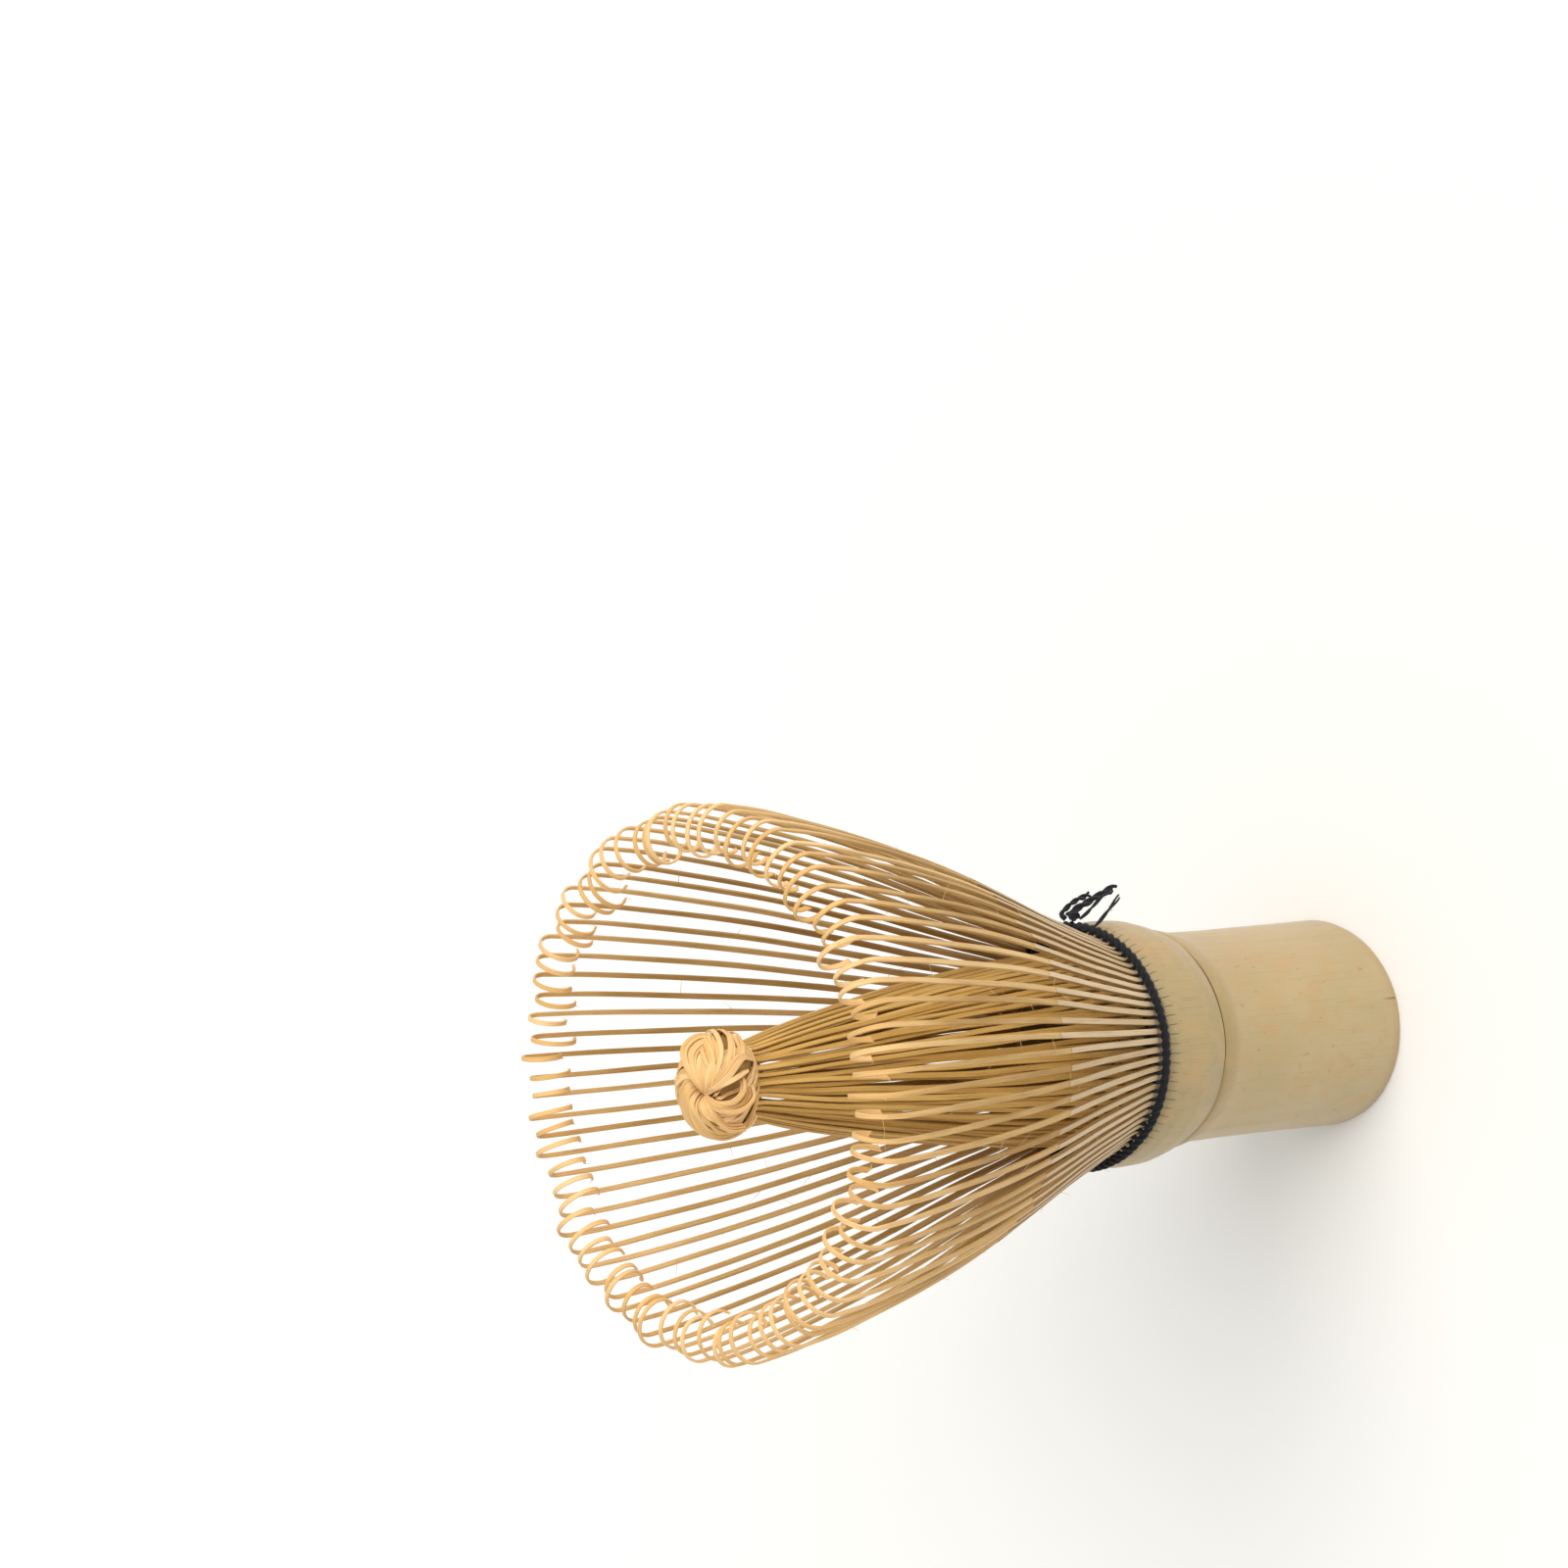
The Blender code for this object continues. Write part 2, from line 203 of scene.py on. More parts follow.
# Ribbons on the knot's near side: (right, up, out) from its centre, facing the way that its hole does
SWATH_OUTER = [
    (3.3, 3.8, -0.9),
    (0.9, 4.5, 0.8),
    (-1.3, 4.9, 1.5),
    (-2.6, 3.8, 2.4),
    (-2.0, 1.5, 3.4),
    (-0.9, -0.1, 3.3),
    (-0.5, -0.7, 2.2),
]
SWATH_INNER = [
    (4.1, 2.5, 0.9),
    (3.2, 2.8, 2.9),
    (2.6, 2.1, 3.9),
    (1.8, 1.1, 4.6),
    (0.9, 0.3, 4.8),
    (0.1, -0.2, 4.2),
    (-0.4, -0.7, 2.8),
]
CROSSING_RIBBON = [(-0.4, -0.7, 3.2), (0.7, 0.1, 4.8), (2.0, 0.7, 4.6), (3.5, 1.5, 2.9)]
SMALL_LOOP = [
    (-0.4, -0.8, 3.2),
    (0.9, -1.4, 4.7),
    (2.1, -1.3, 4.6),
    (3.1, -0.4, 3.9),
    (3.1, 0.6, 3.3),
    (2.3, 1.3, 2.2),
]
LARGE_LOOP = [
    (-0.4, -0.9, 3.2),
    (0.8, -2.0, 4.5),
    (2.4, -2.3, 4.2),
    (3.8, -1.7, 3.4),
    (4.3, -0.9, 3.0),
    (4.1, 0.0, 2.7),
]
LOWER_RIBBON = [(-0.5, -1.0, 3.2), (0.5, -2.6, 4.1), (1.7, -3.7, 3.3), (3.1, -3.7, 2.5)]

# For each: how many ribbons follow it, and the smallest and largest of them as shares of its size
RIBBON_FAMILIES = [
    (CROSSING_RIBBON, 3, 0.94, 1.04),
    (SMALL_LOOP, 4, 0.98, 1.10),
    (LARGE_LOOP, 5, 0.84, 1.05),
    (LOWER_RIBBON, 5, 0.84, 1.14),
]

# Cotton thread
THREAD_HEIGHT = 41.65
OUTER_WRAP_RADIUS = 13.16
OUTER_CORD_RADIUS = 0.47
OUTER_CORD_PITCH = 1.9
INNER_WRAP_HEIGHT = 42.35
INNER_WRAP_RADIUS = 11.42
INNER_CORD_RADIUS = 0.29
INNER_CORD_PITCH = 1.6
LINK_RADII = (13.0, 11.2)
LINK_HEIGHTS = (41.8, 42.5)
TIE_KNOT_RADIUS = 14.20
TIE_CORD_RADIUS = 0.27
TIE_OVER_RADIUS = 0.26
TIE_CORD_PITCH = 1.5
TIE_OVER = [(13.7, -0.5, 42.1), (14.5, -0.1, 42.05), (14.65, 0.2, 41.6), (14.4, 0.5, 41.2)]
THREAD_SEED = 404
TAIL_STEPS = 90
TAILS = [
    (0.30, [(13.9, 0.8, 42.1), (14.3, 1.4, 42.0), (15.0, 1.5, 41.1), (15.8, 1.5, 39.5), (16.3, 1.5, 37.3)]),
    (0.40, [(14.3, 0.3, 41.5), (14.9, 0.2, 41.0), (15.3, 0.1, 40.0), (16.1, 0.1, 37.9), (17.0, 0.2, 34.9)]),
    (
        0.20,
        [(13.9, -0.8, 41.5), (14.4, -1.1, 40.9), (15.1, -0.9, 39.6), (16.0, -0.8, 38.2), (16.9, -0.8, 36.2)],
    ),
    (
        0.21,
        [(13.2, -3.2, 41.7), (13.6, -3.3, 41.2), (14.4, -3.3, 40.2), (15.2, -3.3, 39.2), (16.3, -3.2, 37.8)],
    ),
]

# Room
FLOOR_REACH = 8.0
FLOOR_COLOUR = (0.86, 0.855, 0.845, 1.0)
SKY_COLOUR = (0.99, 0.995, 0.965, 1.0)
SKY_STRENGTH = 0.78
LAMP_STRENGTH = 2.1
LAMP_SPREAD = math.radians(55)
LAMP_TOWARDS = (0.62, -0.34, 0.70)
LAMP_COLOUR = (1.0, 0.975, 0.94)

# Camera: where it stands and the directions of its own axes
CAMERA_POSITION = (0.0317555, -0.2333770, 0.2906312)
CAMERA_AXES = (
    (-0.0097594, 0.9999148, 0.0086648),
    (-0.6639828, -0.000001, -0.7477479),
    (-0.7476842, -0.0130509, 0.6639262),
)
CAMERA_LENS = 72
CAMERA_SENSOR = 36


# -------- numbers


def smooth_value(rows, places):
    """Values at some places on the smooth curve through (place, value) rows."""
    xs = np.array([row[0] for row in rows], float)
    ys = np.array([row[1] for row in rows], float)
    slopes = np.gradient(ys, xs)
    places = np.asarray(places, float)
    i = np.clip(np.searchsorted(xs, places) - 1, 0, len(rows) - 2)
    span = xs[i + 1] - xs[i]
    t = (places - xs[i]) / span
    start = (2 * t**3 - 3 * t**2 + 1) * ys[i] + (t**3 - 2 * t**2 + t) * slopes[i] * span
    end = (3 * t**2 - 2 * t**3) * ys[i + 1] + (t**3 - t**2) * slopes[i + 1] * span
    return start + end


def polar(radius, angle, height):
    """Points from radius, angle and height, in millimetres."""
    x, y, z = np.broadcast_arrays(radius * np.cos(angle), radius * np.sin(angle), height)
    return np.stack([x, y, z], axis=-1).astype(float)


def unit(vectors):
    lengths = np.linalg.norm(vectors, axis=-1, keepdims=True)
    return vectors / np.maximum(lengths, 1e-9)


def bell(places, middle, width):
    """1 at the middle, falling smoothly to 0 on both sides."""
    return np.exp(-(((places - middle) / width) ** 2))


def wander(chance, places, wave, size):
    """A smooth random swing of about the given size along the places."""
    places = np.asarray(places, float)
    total = np.zeros_like(places)
    for share in (1.0, 0.47, 0.23):
        phase = chance.uniform(0, math.tau)
        total += share * np.sin(places * math.tau / (wave * share) + phase)
    return total * size / 1.7


def smooth_path(controls, count):
    """Points spread along the smooth line through the control points."""
    controls = np.array(controls, float)
    lengths = np.linalg.norm(np.diff(controls, axis=0), axis=1)
    places = np.concatenate([[0.0], np.cumsum(lengths)])
    wanted = np.linspace(0, places[-1], count)
    columns = [smooth_value(list(zip(places, controls[:, k])), wanted) for k in range(3)]
    return np.stack(columns, axis=-1)


def path_frames(points):
    """Two directions square to a path, carried along it without twisting."""
    along = unit(np.gradient(points, axis=0))
    first = np.cross(along[0], (0.31, 0.52, 0.79))
    sides = [unit(first)]
    for direction in along[1:]:
        side = sides[-1] - direction * np.dot(sides[-1], direction)
        sides.append(unit(side))
    sides = np.array(sides)
    return sides, np.cross(along, sides)


# -------- meshes


class Strips:
    """Closed strips, each a row of rings of points, gathered into one mesh with values per point."""

    def __init__(self):
        self.points = []
        self.faces = []
        self.values = {}
        self.count = 0

    def add(self, rings, **values):
        rows, sides, _ = rings.shape
        first = self.count
        self.points.append(rings.reshape(-1, 3))
        for row in range(rows - 1):
            base = first + row * sides
            for side in range(sides):
                a = base + side
                b = base + (side + 1) % sides
                self.faces.append((a, b, b + sides, a + sides))
        self.faces.append(tuple(range(first + sides - 1, first - 1, -1)))
        last = first + (rows - 1) * sides
        self.faces.append(tuple(range(last, last + sides)))
        for name, value in values.items():
            value = np.asarray(value, float)
            if value.ndim == 1:
                value = value[:, None]
            spread = np.broadcast_to(value, (rows, sides)).reshape(-1)
            self.values.setdefault(name, []).append(spread)
        self.count += rows * sides

    def build(self, name, material, sharp_angle=40):
        mesh = bpy.data.meshes.new(name)
        points = np.concatenate(self.points) * MM
        mesh.from_pydata(points.tolist(), [], self.faces)
        for key, pieces in self.values.items():
            attribute = mesh.attributes.new(key, "FLOAT", "POINT")
            attribute.data.foreach_set("value", np.concatenate(pieces).astype(np.float32))
        return finish_mesh(name, mesh, material, sharp_angle)


def finish_mesh(name, mesh, material, sharp_angle):
    """Turns all faces outwards, shades them and links the new object."""
    edit = bmesh.new()
    edit.from_mesh(mesh)
    bmesh.ops.recalc_face_normals(edit, faces=edit.faces)
    edit.to_mesh(mesh)
    edit.free()
    mesh.shade_smooth()
    mesh.set_sharp_from_angle(angle=math.radians(sharp_angle))
    mesh.materials.append(material)
    obj = bpy.data.objects.new(name, mesh)
    bpy.context.scene.collection.objects.link(obj)
    return obj


def ribbon_rings(points, across, outward, widths, thicknesses, chamfer, raised=0.0):
    """Rings of eight corners: a flat strip with its edges taken off. Its outward face can be raised."""
    half = np.asarray(widths, float)[:, None] / 2
    deep = np.asarray(thicknesses, float)[:, None] / 2
    high = deep + np.broadcast_to(np.asarray(raised, float), (len(points),))[:, None]
    cut = np.minimum(chamfer, np.minimum(half, deep) * 0.6)
    a = np.concatenate(
        [-half + cut, half - cut, half, half, half - cut, -half + cut, -half, -half], axis=1
    )
    b = np.concatenate([-deep, -deep, -deep + cut, high - cut, high, high, high - cut, -deep + cut], axis=1)
    rings = points[:, None, :] + a[..., None] * across[:, None, :] + b[..., None] * outward[:, None, :]
    return rings, a + 3 * b


def tube_rings(points, radii, sides):
    """Round rings along a path."""
    first, second = path_frames(points)
    turns = np.arange(sides) * math.tau / sides
    radii = np.broadcast_to(np.asarray(radii, float), (len(points),))
    ring = np.cos(turns)[None, :, None] * first[:, None, :]
    ring = ring + np.sin(turns)[None, :, None] * second[:, None, :]
    return points[:, None, :] + radii[:, None, None] * ring


def lengths_along(points):
    steps = np.linalg.norm(np.diff(points, axis=0), axis=1)
    return np.concatenate([[0.0], np.cumsum(steps)])


# -------- materials


class Shader:
    """A Principled material, with short calls for the nodes that feed it."""

    def __init__(self, name, constants):
        self.material = bpy.data.materials.new(name)
        self.material.use_nodes = True
        self.nodes = self.material.node_tree.nodes
        self.links = self.material.node_tree.links
        self.principled = self.nodes["Principled BSDF"]
        for key, value in constants.items():
            self.principled.inputs[key].default_value = value

    def node(self, kind, feeds, output=0, **settings):
        """One output of a new node, with values or links fed to its inputs."""
        node = self.nodes.new(f"ShaderNode{kind}")
        for key, value in settings.items():
            setattr(node, key, value)
        for key, value in feeds.items():
            self.feed(node.inputs[key], value)
        return node.outputs[output]

    def feed(self, socket, value):
        if isinstance(value, bpy.types.NodeSocket):
            self.links.new(value, socket)
        else:
            socket.default_value = value

    def attribute(self, name):
        return self.node("Attribute", {}, "Fac", attribute_name=name)

    def math(self, operation, a, b=0.0, clamp=False):
        return self.node("Math", {0: a, 1: b}, operation=operation, use_clamp=clamp)

    def times(self, a, b):
        return self.math("MULTIPLY", a, b)

    def plus(self, a, b):
        return self.math("ADD", a, b)

    def minus(self, a, b):
        return self.math("SUBTRACT", a, b)

    def combine(self, x, y, z):
        return self.node("CombineXYZ", {0: x, 1: y, 2: z})

    def scaled(self, vector, factors):
        return self.node("VectorMath", {0: vector, 1: factors}, operation="MULTIPLY")

    def noise(self, vector, detail=3.0, roughness=0.55):
        feeds = {"Vector": vector, "Scale": 1.0, "Detail": detail, "Roughness": roughness}
        return self.node("TexNoise", feeds)

    def ramp(self, factor, low, high):
        """0 at low, 1 at high and a smooth change between."""
        feeds = {"Value": factor, "From Min": low, "From Max": high}
        return self.node("MapRange", feeds, interpolation_type="SMOOTHSTEP")

    def colours(self, factor, stops):
        """A colour read from (place, colour) stops."""
        output = self.node("ValToRGB", {"Fac": factor})
        elements = output.node.color_ramp.elements
        while len(elements) < len(stops):
            elements.new(0.5)
        for element, (place, colour) in zip(elements, stops):
            element.position = place
            element.color = (*colour, 1.0)
        return output

    def mix(self, factor, a, b):
        output = self.node("Mix", {0: factor}, 2, data_type="RGBA")
        for index, value in ((6, a), (7, b)):
            if isinstance(value, tuple):
                value = (*value, 1.0)
            self.feed(output.node.inputs[index], value)
        return output

    def stain(self, colour, pattern, low, high, strength, tint):
        """The colour, tinted up to the given strength as the pattern goes from low to high."""
        return self.mix(self.times(self.ramp(pattern, low, high), strength), colour, tint)

    def finish(self, colour, roughness, height, depth):
        """The material with its colour, roughness and a relief of the given depth in millimetres."""
        self.feed(self.principled.inputs["Base Color"], colour)
        self.feed(self.principled.inputs["Roughness"], roughness)
        feeds = {"Height": height, "Distance": depth * MM, "Strength": 0.6}
        self.feed(self.principled.inputs["Normal"], self.node("Bump", feeds))
        return self.material


def tine_material(name, flesh, tip_flesh, dark, skin_stops):
    """Cut bamboo: fine fibres along each tine, pale skin on its outward face near the root."""
    shader = Shader(name, {"Specular IOR Level": 0.2})
    along = shader.attribute("along")
    cross = shader.attribute("cross")
    chance = shader.attribute("chance")
    skin = shader.attribute("skin")
    lane = shader.times(chance, 41.0)

    def stretched(across_scale, along_scale):
        return shader.combine(shader.times(cross, across_scale), shader.times(along, along_scale), lane)

    fibres = shader.noise(stretched(11.0, 0.22), detail=4.0, roughness=0.6)
    patches = shader.noise(stretched(0.8, 0.11), detail=2.0)
    specks = shader.noise(stretched(4.5, 1.1), detail=2.0)
    tone = shader.plus(shader.times(patches, 0.55), shader.times(chance, 0.45))
    base = shader.colours(tone, flesh)
    tip = shader.colours(tone, tip_flesh)
    colour = shader.mix(shader.ramp(along, PALING_FROM, PALEST_FROM), base, tip)
    skin_colour = shader.colours(tone, skin_stops)
    colour = shader.mix(shader.ramp(skin, 0.35, 0.65), colour, skin_colour)
    colour = shader.stain(colour, fibres, 0.52, 0.30, 0.42, dark)
    colour = shader.stain(colour, specks, 0.66, 0.76, 0.35, dark)
    skin_edge = shader.times(skin, shader.minus(1.0, skin))
    colour = shader.mix(shader.math("MULTIPLY", skin_edge, 2.8, clamp=True), colour, dark)
    roughness = shader.plus(shader.times(fibres, 0.35), 0.32)
    return shader.finish(colour, roughness, fibres, 0.03)


def outer_tine_material():
    return tine_material(
        "outer_tine_bamboo",
        [(0.25, (0.37, 0.21, 0.062)), (0.50, (0.54, 0.345, 0.135)), (0.80, (0.68, 0.46, 0.215))],
        [(0.25, (0.72, 0.425, 0.150)), (0.50, (0.83, 0.53, 0.235)), (0.80, (0.90, 0.62, 0.315))],
        (0.22, 0.11, 0.03),
        [(0.25, (0.50, 0.365, 0.205)), (0.50, (0.58, 0.44, 0.27)), (0.80, (0.65, 0.50, 0.33))],
    )


def inner_tine_material():
    return tine_material(
        "inner_tine_bamboo",
        [(0.25, (0.42, 0.225, 0.050)), (0.50, (0.58, 0.340, 0.090)), (0.80, (0.70, 0.445, 0.140))],
        [(0.25, (0.50, 0.265, 0.060)), (0.50, (0.68, 0.39, 0.112)), (0.80, (0.80, 0.49, 0.165))],
        (0.18, 0.085, 0.02),
        [(0.25, (0.5, 0.4, 0.25)), (0.80, (0.6, 0.5, 0.33))],
    )


def culm_material():
    """The culm's outside: satin skin with long grain, mottling, freckles, a worn node, split ticks and
    painted shade on the side that faces the lamp.
    """
    shader = Shader("culm_bamboo", {"Specular IOR Level": 0.5, "Coat Weight": 0.25, "Coat Roughness": 0.25})
    place = shader.node("TexCoord", {}, "Object")
    x, y, z = (shader.node("SeparateXYZ", {0: place}, axis) for axis in range(3))
    grain = shader.noise(shader.scaled(place, (5200, 5200, 95)), detail=5.0, roughness=0.65)
    streaks = shader.noise(shader.scaled(place, (900, 900, 26)), detail=3.0)
    mottle = shader.noise(shader.scaled(place, (120, 120, 90)), detail=3.0)
    blotches = shader.noise(shader.scaled(place, (420, 420, 260)), detail=4.0, roughness=0.6)
    freckles = shader.noise(shader.scaled(place, (1500, 1500, 900)), detail=2.0)
    scuffs = shader.noise(shader.scaled(place, (420, 420, 1700)), detail=4.0, roughness=0.7)
    colour = culm_height_colour(shader, z)
    # Painted shade: the side towards +X, which faces the lamp, is darkened and turned more orange.
    colour = shader.stain(colour, x, 0.003, 0.012, 0.55, (0.40, 0.268, 0.120))
    colour = shader.stain(colour, mottle, 0.42, 0.75, 0.40, (0.355, 0.28, 0.12))
    colour = shader.stain(colour, blotches, 0.46, 0.66, 0.46, (0.47, 0.285, 0.108))
    colour = shader.stain(colour, streaks, 0.60, 0.80, 0.13, CULM_DARK)
    colour = shader.mix(grain_lines(shader, grain, z), colour, CULM_DARK)
    colour = shader.stain(colour, scuffs, 0.68, 0.76, 0.15, (0.60, 0.48, 0.30))
    colour = shader.stain(colour, freckles, 0.66, 0.74, 0.6, (0.33, 0.17, 0.06))
    colour = shader.mix(node_line(shader, z, mottle), colour, (0.035, 0.02, 0.01))
    colour = shader.mix(rim_crack(shader, x, y, z, streaks), colour, (0.14, 0.07, 0.03))
    ticks = split_ticks(shader, x, y, z, mottle)
    colour = shader.mix(ticks, colour, (0.12, 0.075, 0.03))
    colour = with_end_grain(shader, place, colour)
    roughness = shader.plus(shader.times(streaks, 0.22), 0.30)
    relief = shader.plus(grain, shader.times(scuffs, 0.4))
    relief = shader.minus(relief, shader.times(ticks, 2.0))
    return shader.finish(colour, roughness, relief, 0.035)


def culm_height_colour(shader, z):
    """Straw-coloured handle, an olive band by the node and a duller collar."""
    return shader.colours(
        shader.times(z, 1 / (COLLAR_TOP * MM)),
        [
            (0.00, (0.400, 0.270, 0.120)),
            (0.04, (0.452, 0.345, 0.176)),
            (0.40, (0.456, 0.341, 0.168)),
            (0.69, (0.430, 0.312, 0.144)),
            (0.72, (0.360, 0.252, 0.098)),
            (0.765, (0.330, 0.232, 0.086)),
            (0.79, (0.345, 0.250, 0.102)),
            (0.90, (0.375, 0.275, 0.120)),
            (1.00, (0.350, 0.264, 0.124)),
        ],
    )


def grain_lines(shader, grain, z):
    """Fine dark lines along the grain, stronger on the collar."""
    everywhere = shader.times(shader.ramp(grain, 0.52, 0.72), 0.20)
    on_collar = shader.ramp(z, 0.0300, 0.0335)
    collar_lines = shader.times(shader.times(on_collar, shader.ramp(grain, 0.5, 0.7)), 0.16)
    return shader.plus(collar_lines, everywhere)


def node_line(shader, z, mottle):
    """A thin dark line at the bottom of the node's groove."""
    wave = shader.times(shader.minus(mottle, 0.5), 0.0002)
    offset = shader.math("ABSOLUTE", shader.minus(shader.plus(z, wave), GROOVE_HEIGHT * MM))
    return shader.times(shader.ramp(offset, 0.00021, 0.00013), 0.9)


def rim_crack(shader, x, y, z, streaks):
    """A hairline crack that runs up from the handle's rim and fades out."""
    turn = shader.math("ARCTAN2", y, x)
    wave = shader.times(shader.minus(streaks, 0.5), 0.05)
    offset = shader.math("ABSOLUTE", shader.minus(shader.plus(turn, wave), CRACK_ANGLE))
    thin = shader.ramp(offset, 0.011, 0.003)
    low = shader.ramp(z, 0.0030, 0.0008)
    return shader.times(shader.times(thin, low), 0.8)


def split_ticks(shader, x, y, z, mottle):
    """Short dark ends of the cuts between tines, at the collar's top edge."""
    turns = shader.times(shader.math("ARCTAN2", y, x), TINE_COUNT / math.tau)
    share = shader.math("FRACT", shader.plus(turns, 200.5))
    offset = shader.math("ABSOLUTE", shader.minus(share, 0.5))
    thin = shader.ramp(offset, 0.09, 0.02)
    start = shader.plus(shader.times(mottle, 0.0022), TICKS_BOTTOM * MM)
    high = shader.ramp(shader.minus(z, start), 0.0, 0.0007)
    return shader.times(shader.times(thin, high), 0.85)


def with_end_grain(shader, place, colour):
    """The colour, with dotted fibre bundles where the culm is cut across."""
    normal_z = shader.node("SeparateXYZ", {0: shader.node("NewGeometry", {}, "Normal")}, 2)
    end_face = shader.ramp(shader.math("ABSOLUTE", normal_z), 0.72, 0.86)
    bundles = shader.node("TexVoronoi", {"Vector": shader.scaled(place, (1700, 1700, 1700)), "Scale": 1.0})
    end_colour = shader.colours(bundles, [(0.16, (0.27, 0.16, 0.07)), (0.42, (0.62, 0.47, 0.26))])
    return shader.mix(end_face, colour, end_colour)


def cotton_material():
    """Black cotton: soft, matt, with the fibres of each ply showing."""
    surface = {"Specular IOR Level": 0.2, "Sheen Weight": 0.12, "Sheen Roughness": 0.5}
    shader = Shader("black_thread", surface)
    along = shader.attribute("along")
    cross = shader.attribute("cross")
    place = shader.combine(shader.times(along, 3.0), shader.times(cross, 2.2), 0.0)
    fibres = shader.noise(place, detail=4.0, roughness=0.7)
    dust = shader.noise(shader.scaled(place, (0.5, 0.5, 1.0)), detail=3.0)
    colour = shader.colours(fibres, [(0.30, (0.004, 0.0045, 0.006)), (0.75, (0.017, 0.018, 0.024))])
    colour = shader.stain(colour, dust, 0.60, 0.75, 0.4, (0.035, 0.036, 0.042))
    roughness = shader.plus(shader.times(fibres, 0.2), 0.72)
    return shader.finish(colour, roughness, fibres, 0.06)


# -------- outer tines


def tine_variations():
    """How each outer tine differs from the even pattern: the CAD part's own differences."""
    chance = random.Random(VARIATION_SEED)
    ways = []
    for index in range(TINE_COUNT):
        angle = (index + 0.5) * TINE_ANGLE
        lean = math.radians(13 * math.sin(2 * angle + 0.8) + chance.uniform(-4.5, 4.5))
        ways.append(
            {
                "angle": angle,
                "drift": chance.uniform(-0.18, 0.18),
                "rise": chance.uniform(-0.9, 0.5),
                "spread": chance.uniform(-0.30, 0.25),
                "curl": CURL_RADIUS * chance.uniform(0.90, 1.12),
                "turn": CURL_TURN * chance.uniform(0.90, 1.10),
                "lean": lean,
            }
        )
    return ways


def tine_frames(way):
    """Points, directions across and directions outward at fine steps from root to tip."""
    share = np.linspace(0, 1, LINE_STEPS + 1)
    heights = OUTER_LINE[0][0] + (OUTER_LINE[-1][0] + way["rise"] - OUTER_LINE[0][0]) * share
    easing = share * share * (3 - 2 * share)
    radii = smooth_value(OUTER_LINE, heights) + way["spread"] * easing
    line = polar(radii, way["angle"] + way["drift"] * easing / radii, heights)
    side = np.array([-math.sin(way["angle"]), math.cos(way["angle"]), 0.0])
    alongs = unit(np.gradient(line, axis=0))
    points = list(line)
    across = [side] * len(points)
    outward = list(unit(np.cross(side, alongs)))
    point, along, out = line[-1], alongs[-1], outward[-1]
    turn = way["turn"] / CURL_STEPS
    roll = way["lean"] / CURL_STEPS
    for step in range(CURL_STEPS):
        radius = way["curl"] * (1.22 - 0.42 * step / CURL_STEPS)
        point = point + along * radius * turn
        along, out = (
            along * math.cos(turn) - out * math.sin(turn),
            out * math.cos(turn) + along * math.sin(turn),
        )
        side, out = (
            side * math.cos(roll) + out * math.sin(roll),
            out * math.cos(roll) - side * math.sin(roll),
        )
        points.append(point)
        across.append(side)
        outward.append(out)
    return np.array(points), np.array(across), np.array(outward)


def at_steps(rows, steps):
    """Rows of a table read at steps that may fall between two rows."""
    whole = np.arange(len(rows))
    return np.stack([np.interp(steps, whole, rows[:, k]) for k in range(rows.shape[1])], axis=-1)


def add_outer_tine(strips, way, chance):
    """One tine: pale skin up to a small step, an uneven width, a wandering line and a slanted tip."""
    points, across, outward = tine_frames(way)
    skin_height = SKIN_END + chance.uniform(-1.6, 1.6)
    skin_step = float(np.interp(skin_height, points[: LINE_STEPS + 1, 2], np.arange(LINE_STEPS + 1)))
    skin_edge = [skin_step - SKIN_FADE_STEPS, skin_step, skin_step + SKIN_FADE_STEPS]
    line = np.linspace(0, LINE_STEPS, LINE_RINGS)
    curl = np.linspace(LINE_STEPS, LINE_STEPS + CURL_STEPS, CURL_RINGS)[1:]
    steps = np.sort(np.concatenate([line, skin_edge, curl]))
    shares = steps / (LINE_STEPS + CURL_STEPS)
    points, across, outward = (at_steps(rows, steps) for rows in (points, across, outward))
    free = np.clip(shares * 4, 0, 1) * np.clip((1 - shares) * 5, 0, 1)
    points = points + across * (wander(chance, shares, 0.9, 0.10) * free)[:, None]
    points = points + outward * (wander(chance, shares, 0.7, 0.06) * free)[:, None]
    widths = smooth_value(TINE_WIDTH_ROWS, shares) * (1 + wander(chance, shares, 0.35, 0.05))
    widths = widths * np.where(shares > 0.985, 1.07, 1.0)
    thick = smooth_value(TINE_THICKNESS_ROWS, shares) * (1 + wander(chance, shares, 0.3, 0.06))
    skin = np.interp(steps, [skin_edge[0], skin_edge[-1]], [1.0, 0.0])
    root = points[:1] + [[0, 0, ROOT_BOTTOM - OUTER_LINE[0][0]]]
    points = np.concatenate([root, points])
    across = np.concatenate([across[:1], across])
    outward = np.concatenate([outward[:1], outward])
    widths, thick, skin = (np.concatenate([row[:1], row]) for row in (widths, thick, skin))
    rings, cross = ribbon_rings(points, across, outward, widths, thick, EDGE_CHAMFER, SKIN_STEP * skin)
    slant = chance.choice((-1, 1)) * chance.uniform(0.2, 0.9)
    tip_along = unit(points[-1] - points[-2])
    offsets = (rings[-1] - points[-1]) @ across[-1]
    rings[-1] = rings[-1] + tip_along * (offsets * slant)[:, None]
    outer_face = np.array([0, 0, 0, 0.6, 1, 1, 0.6, 0])
    strips.add(
        rings,
        along=lengths_along(points),
        cross=cross,
        chance=np.full(len(points), chance.random()),
        skin=skin[:, None] * outer_face[None, :],
    )
    add_burr(strips, points[-1], tip_along, across[-1] * math.copysign(1.0, slant), outward[-1], chance)
    return points, across, outward, widths


